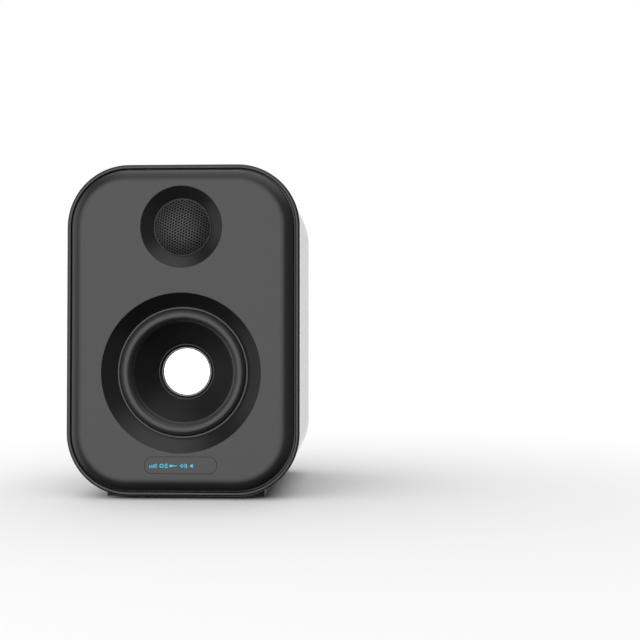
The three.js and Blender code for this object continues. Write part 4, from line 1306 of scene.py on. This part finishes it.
# node, name, edge radius, finish, and the body that it moves with if that isn't the cabinet
softened = [
    ("switch_housing", "switchHousing", 0.35, "socket_black"),
    ("power_rocker", "powerRocker", 0.4, "socket_black", "rocker"),
    ("mains_inlet", "mainsInlet", 0.35, "socket_black"),
    ("digital_socket", "digitalSocket", 0.2, "zinc_steel"),
    ("data_socket", "dataSocket", 0.2, "zinc_steel"),
    ("aux_jack", "auxJack", 0.25, "socket_black"),
    ("optical_socket", "opticalSocket", 0.3, "socket_black"),
    ("optical_flap", "opticalFlap", 0.18, "socket_black", "optical_shutter"),
    ("terminal_block", "terminalBlock", 0.4, "socket_black"),
    ("terminal_lever_red", "redLever", 0.4, "lever_red", "red_clip"),
    ("terminal_lever_black", "blackLever", 0.4, "socket_black", "black_clip"),
    ("volume_shaft", "volumeShaft", 0.2, "zinc_steel", "volume_control"),
    ("volume_plunger", "volumePlunger", 0.2, "contact_brass", "encoder_plunger"),
    ("volume_encoder", "volumeEncoder", 0.25, "zinc_steel"),
    ("treble_pot", "treblePot", 0.25, "zinc_steel"),
    ("bass_pot", "bassPot", 0.25, "zinc_steel"),
    ("main_board", "mainBoard", 0.15, "circuit_board"),
    ("display_board", "displayBoard", 0.15, "circuit_board"),
    ("transformer", "transformer", 0.5, "zinc_steel"),
    ("heat_sink", "heatSink", 0.3, "sink_aluminium"),
    ("reservoir_capacitor", "reservoirCapacitor", 0.6, "satin_black"),
    ("woofer_basket", "wooferBasket", 0.4, "basket_steel"),
    ("woofer_magnet", "wooferMagnet", 0.6, "ferrite"),
    ("woofer_top_plate", "wooferTopPlate", 0.3, "zinc_steel"),
    ("woofer_pole_plate", "wooferPolePlate", 0.3, "zinc_steel"),
    ("tweeter_magnet", "tweeterMagnet", 0.4, "ferrite"),
    ("woofer_voice_coil", "wooferVoiceCoil", 0.05, "copper_wire", "woofer_cone_assembly"),
]


def softenedPieces():
    for node, name, edge, finish, *body in softened:
        piece = softenedCopy(node, edge * mm)
        finishPiece(piece, name, finish, [node], *body)
    # the faceplate takes a darker black than its own satin black as painted shade behind the mesh
    faceplate = softenedCopy("tweeter_faceplate", 0.3 * mm)
    stands = ["tweeter_faceplate"]
    finishPiece(faceplate, "tweeterFaceplate", "shaded_matt_black", stands, slot="satin_black")


padShape = {
    "corner": 12 * mm,
    "edge": 5 * mm,
    "voxel": 2.5 * mm,
    "lumps": 18 * mm,
    "lumpHeight": 5 * mm,
}


def acousticPad():
    s = padShape
    low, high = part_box("acoustic_wadding")
    pad = roundedBlock(low, high, s["corner"], 6)
    modify(
        pad, "BEVEL", width=s["edge"], segments=3, limit_method="ANGLE", angle_limit=math.radians(60)
    )
    modify(pad, "REMESH", mode="VOXEL", voxel_size=s["voxel"])
    fluff = bpy.data.textures.new("fluff", "CLOUDS")
    fluff.noise_scale = s["lumps"]
    modify(
        pad, "DISPLACE", texture=fluff, strength=s["lumpHeight"], mid_level=0.9, texture_coords="LOCAL"
    )
    modify(pad, "SMOOTH", factor=0.5, iterations=2)
    finishPiece(pad, "waddingPad", "white_wadding", ["acoustic_wadding"], angle=180)


rearPanel()
reflexPort()
for i in range(1, 5):
    panScrew(f"rear_panel_screw_{i}", f"rearPanelScrew{i}", "screw_black")
    panScrew(f"woofer_screw_{i}", f"wooferScrew{i}", "zinc_steel")
knob("volume_knob", "volumeKnob", 9.5, "volume_control", 0)
knob("treble_knob", "trebleKnob", 7.5, "treble_control", 2.0)
knob("bass_knob", "bassKnob", 7.5, "bass_control", 2.0)
softenedPieces()
acousticPad()
print("rear and inside built")

for node in ("woofer_lead", "tweeter_lead"):
    nodes[node].data.materials.clear()
    nodes[node].data.materials.append(finishes["lead_sleeve"])
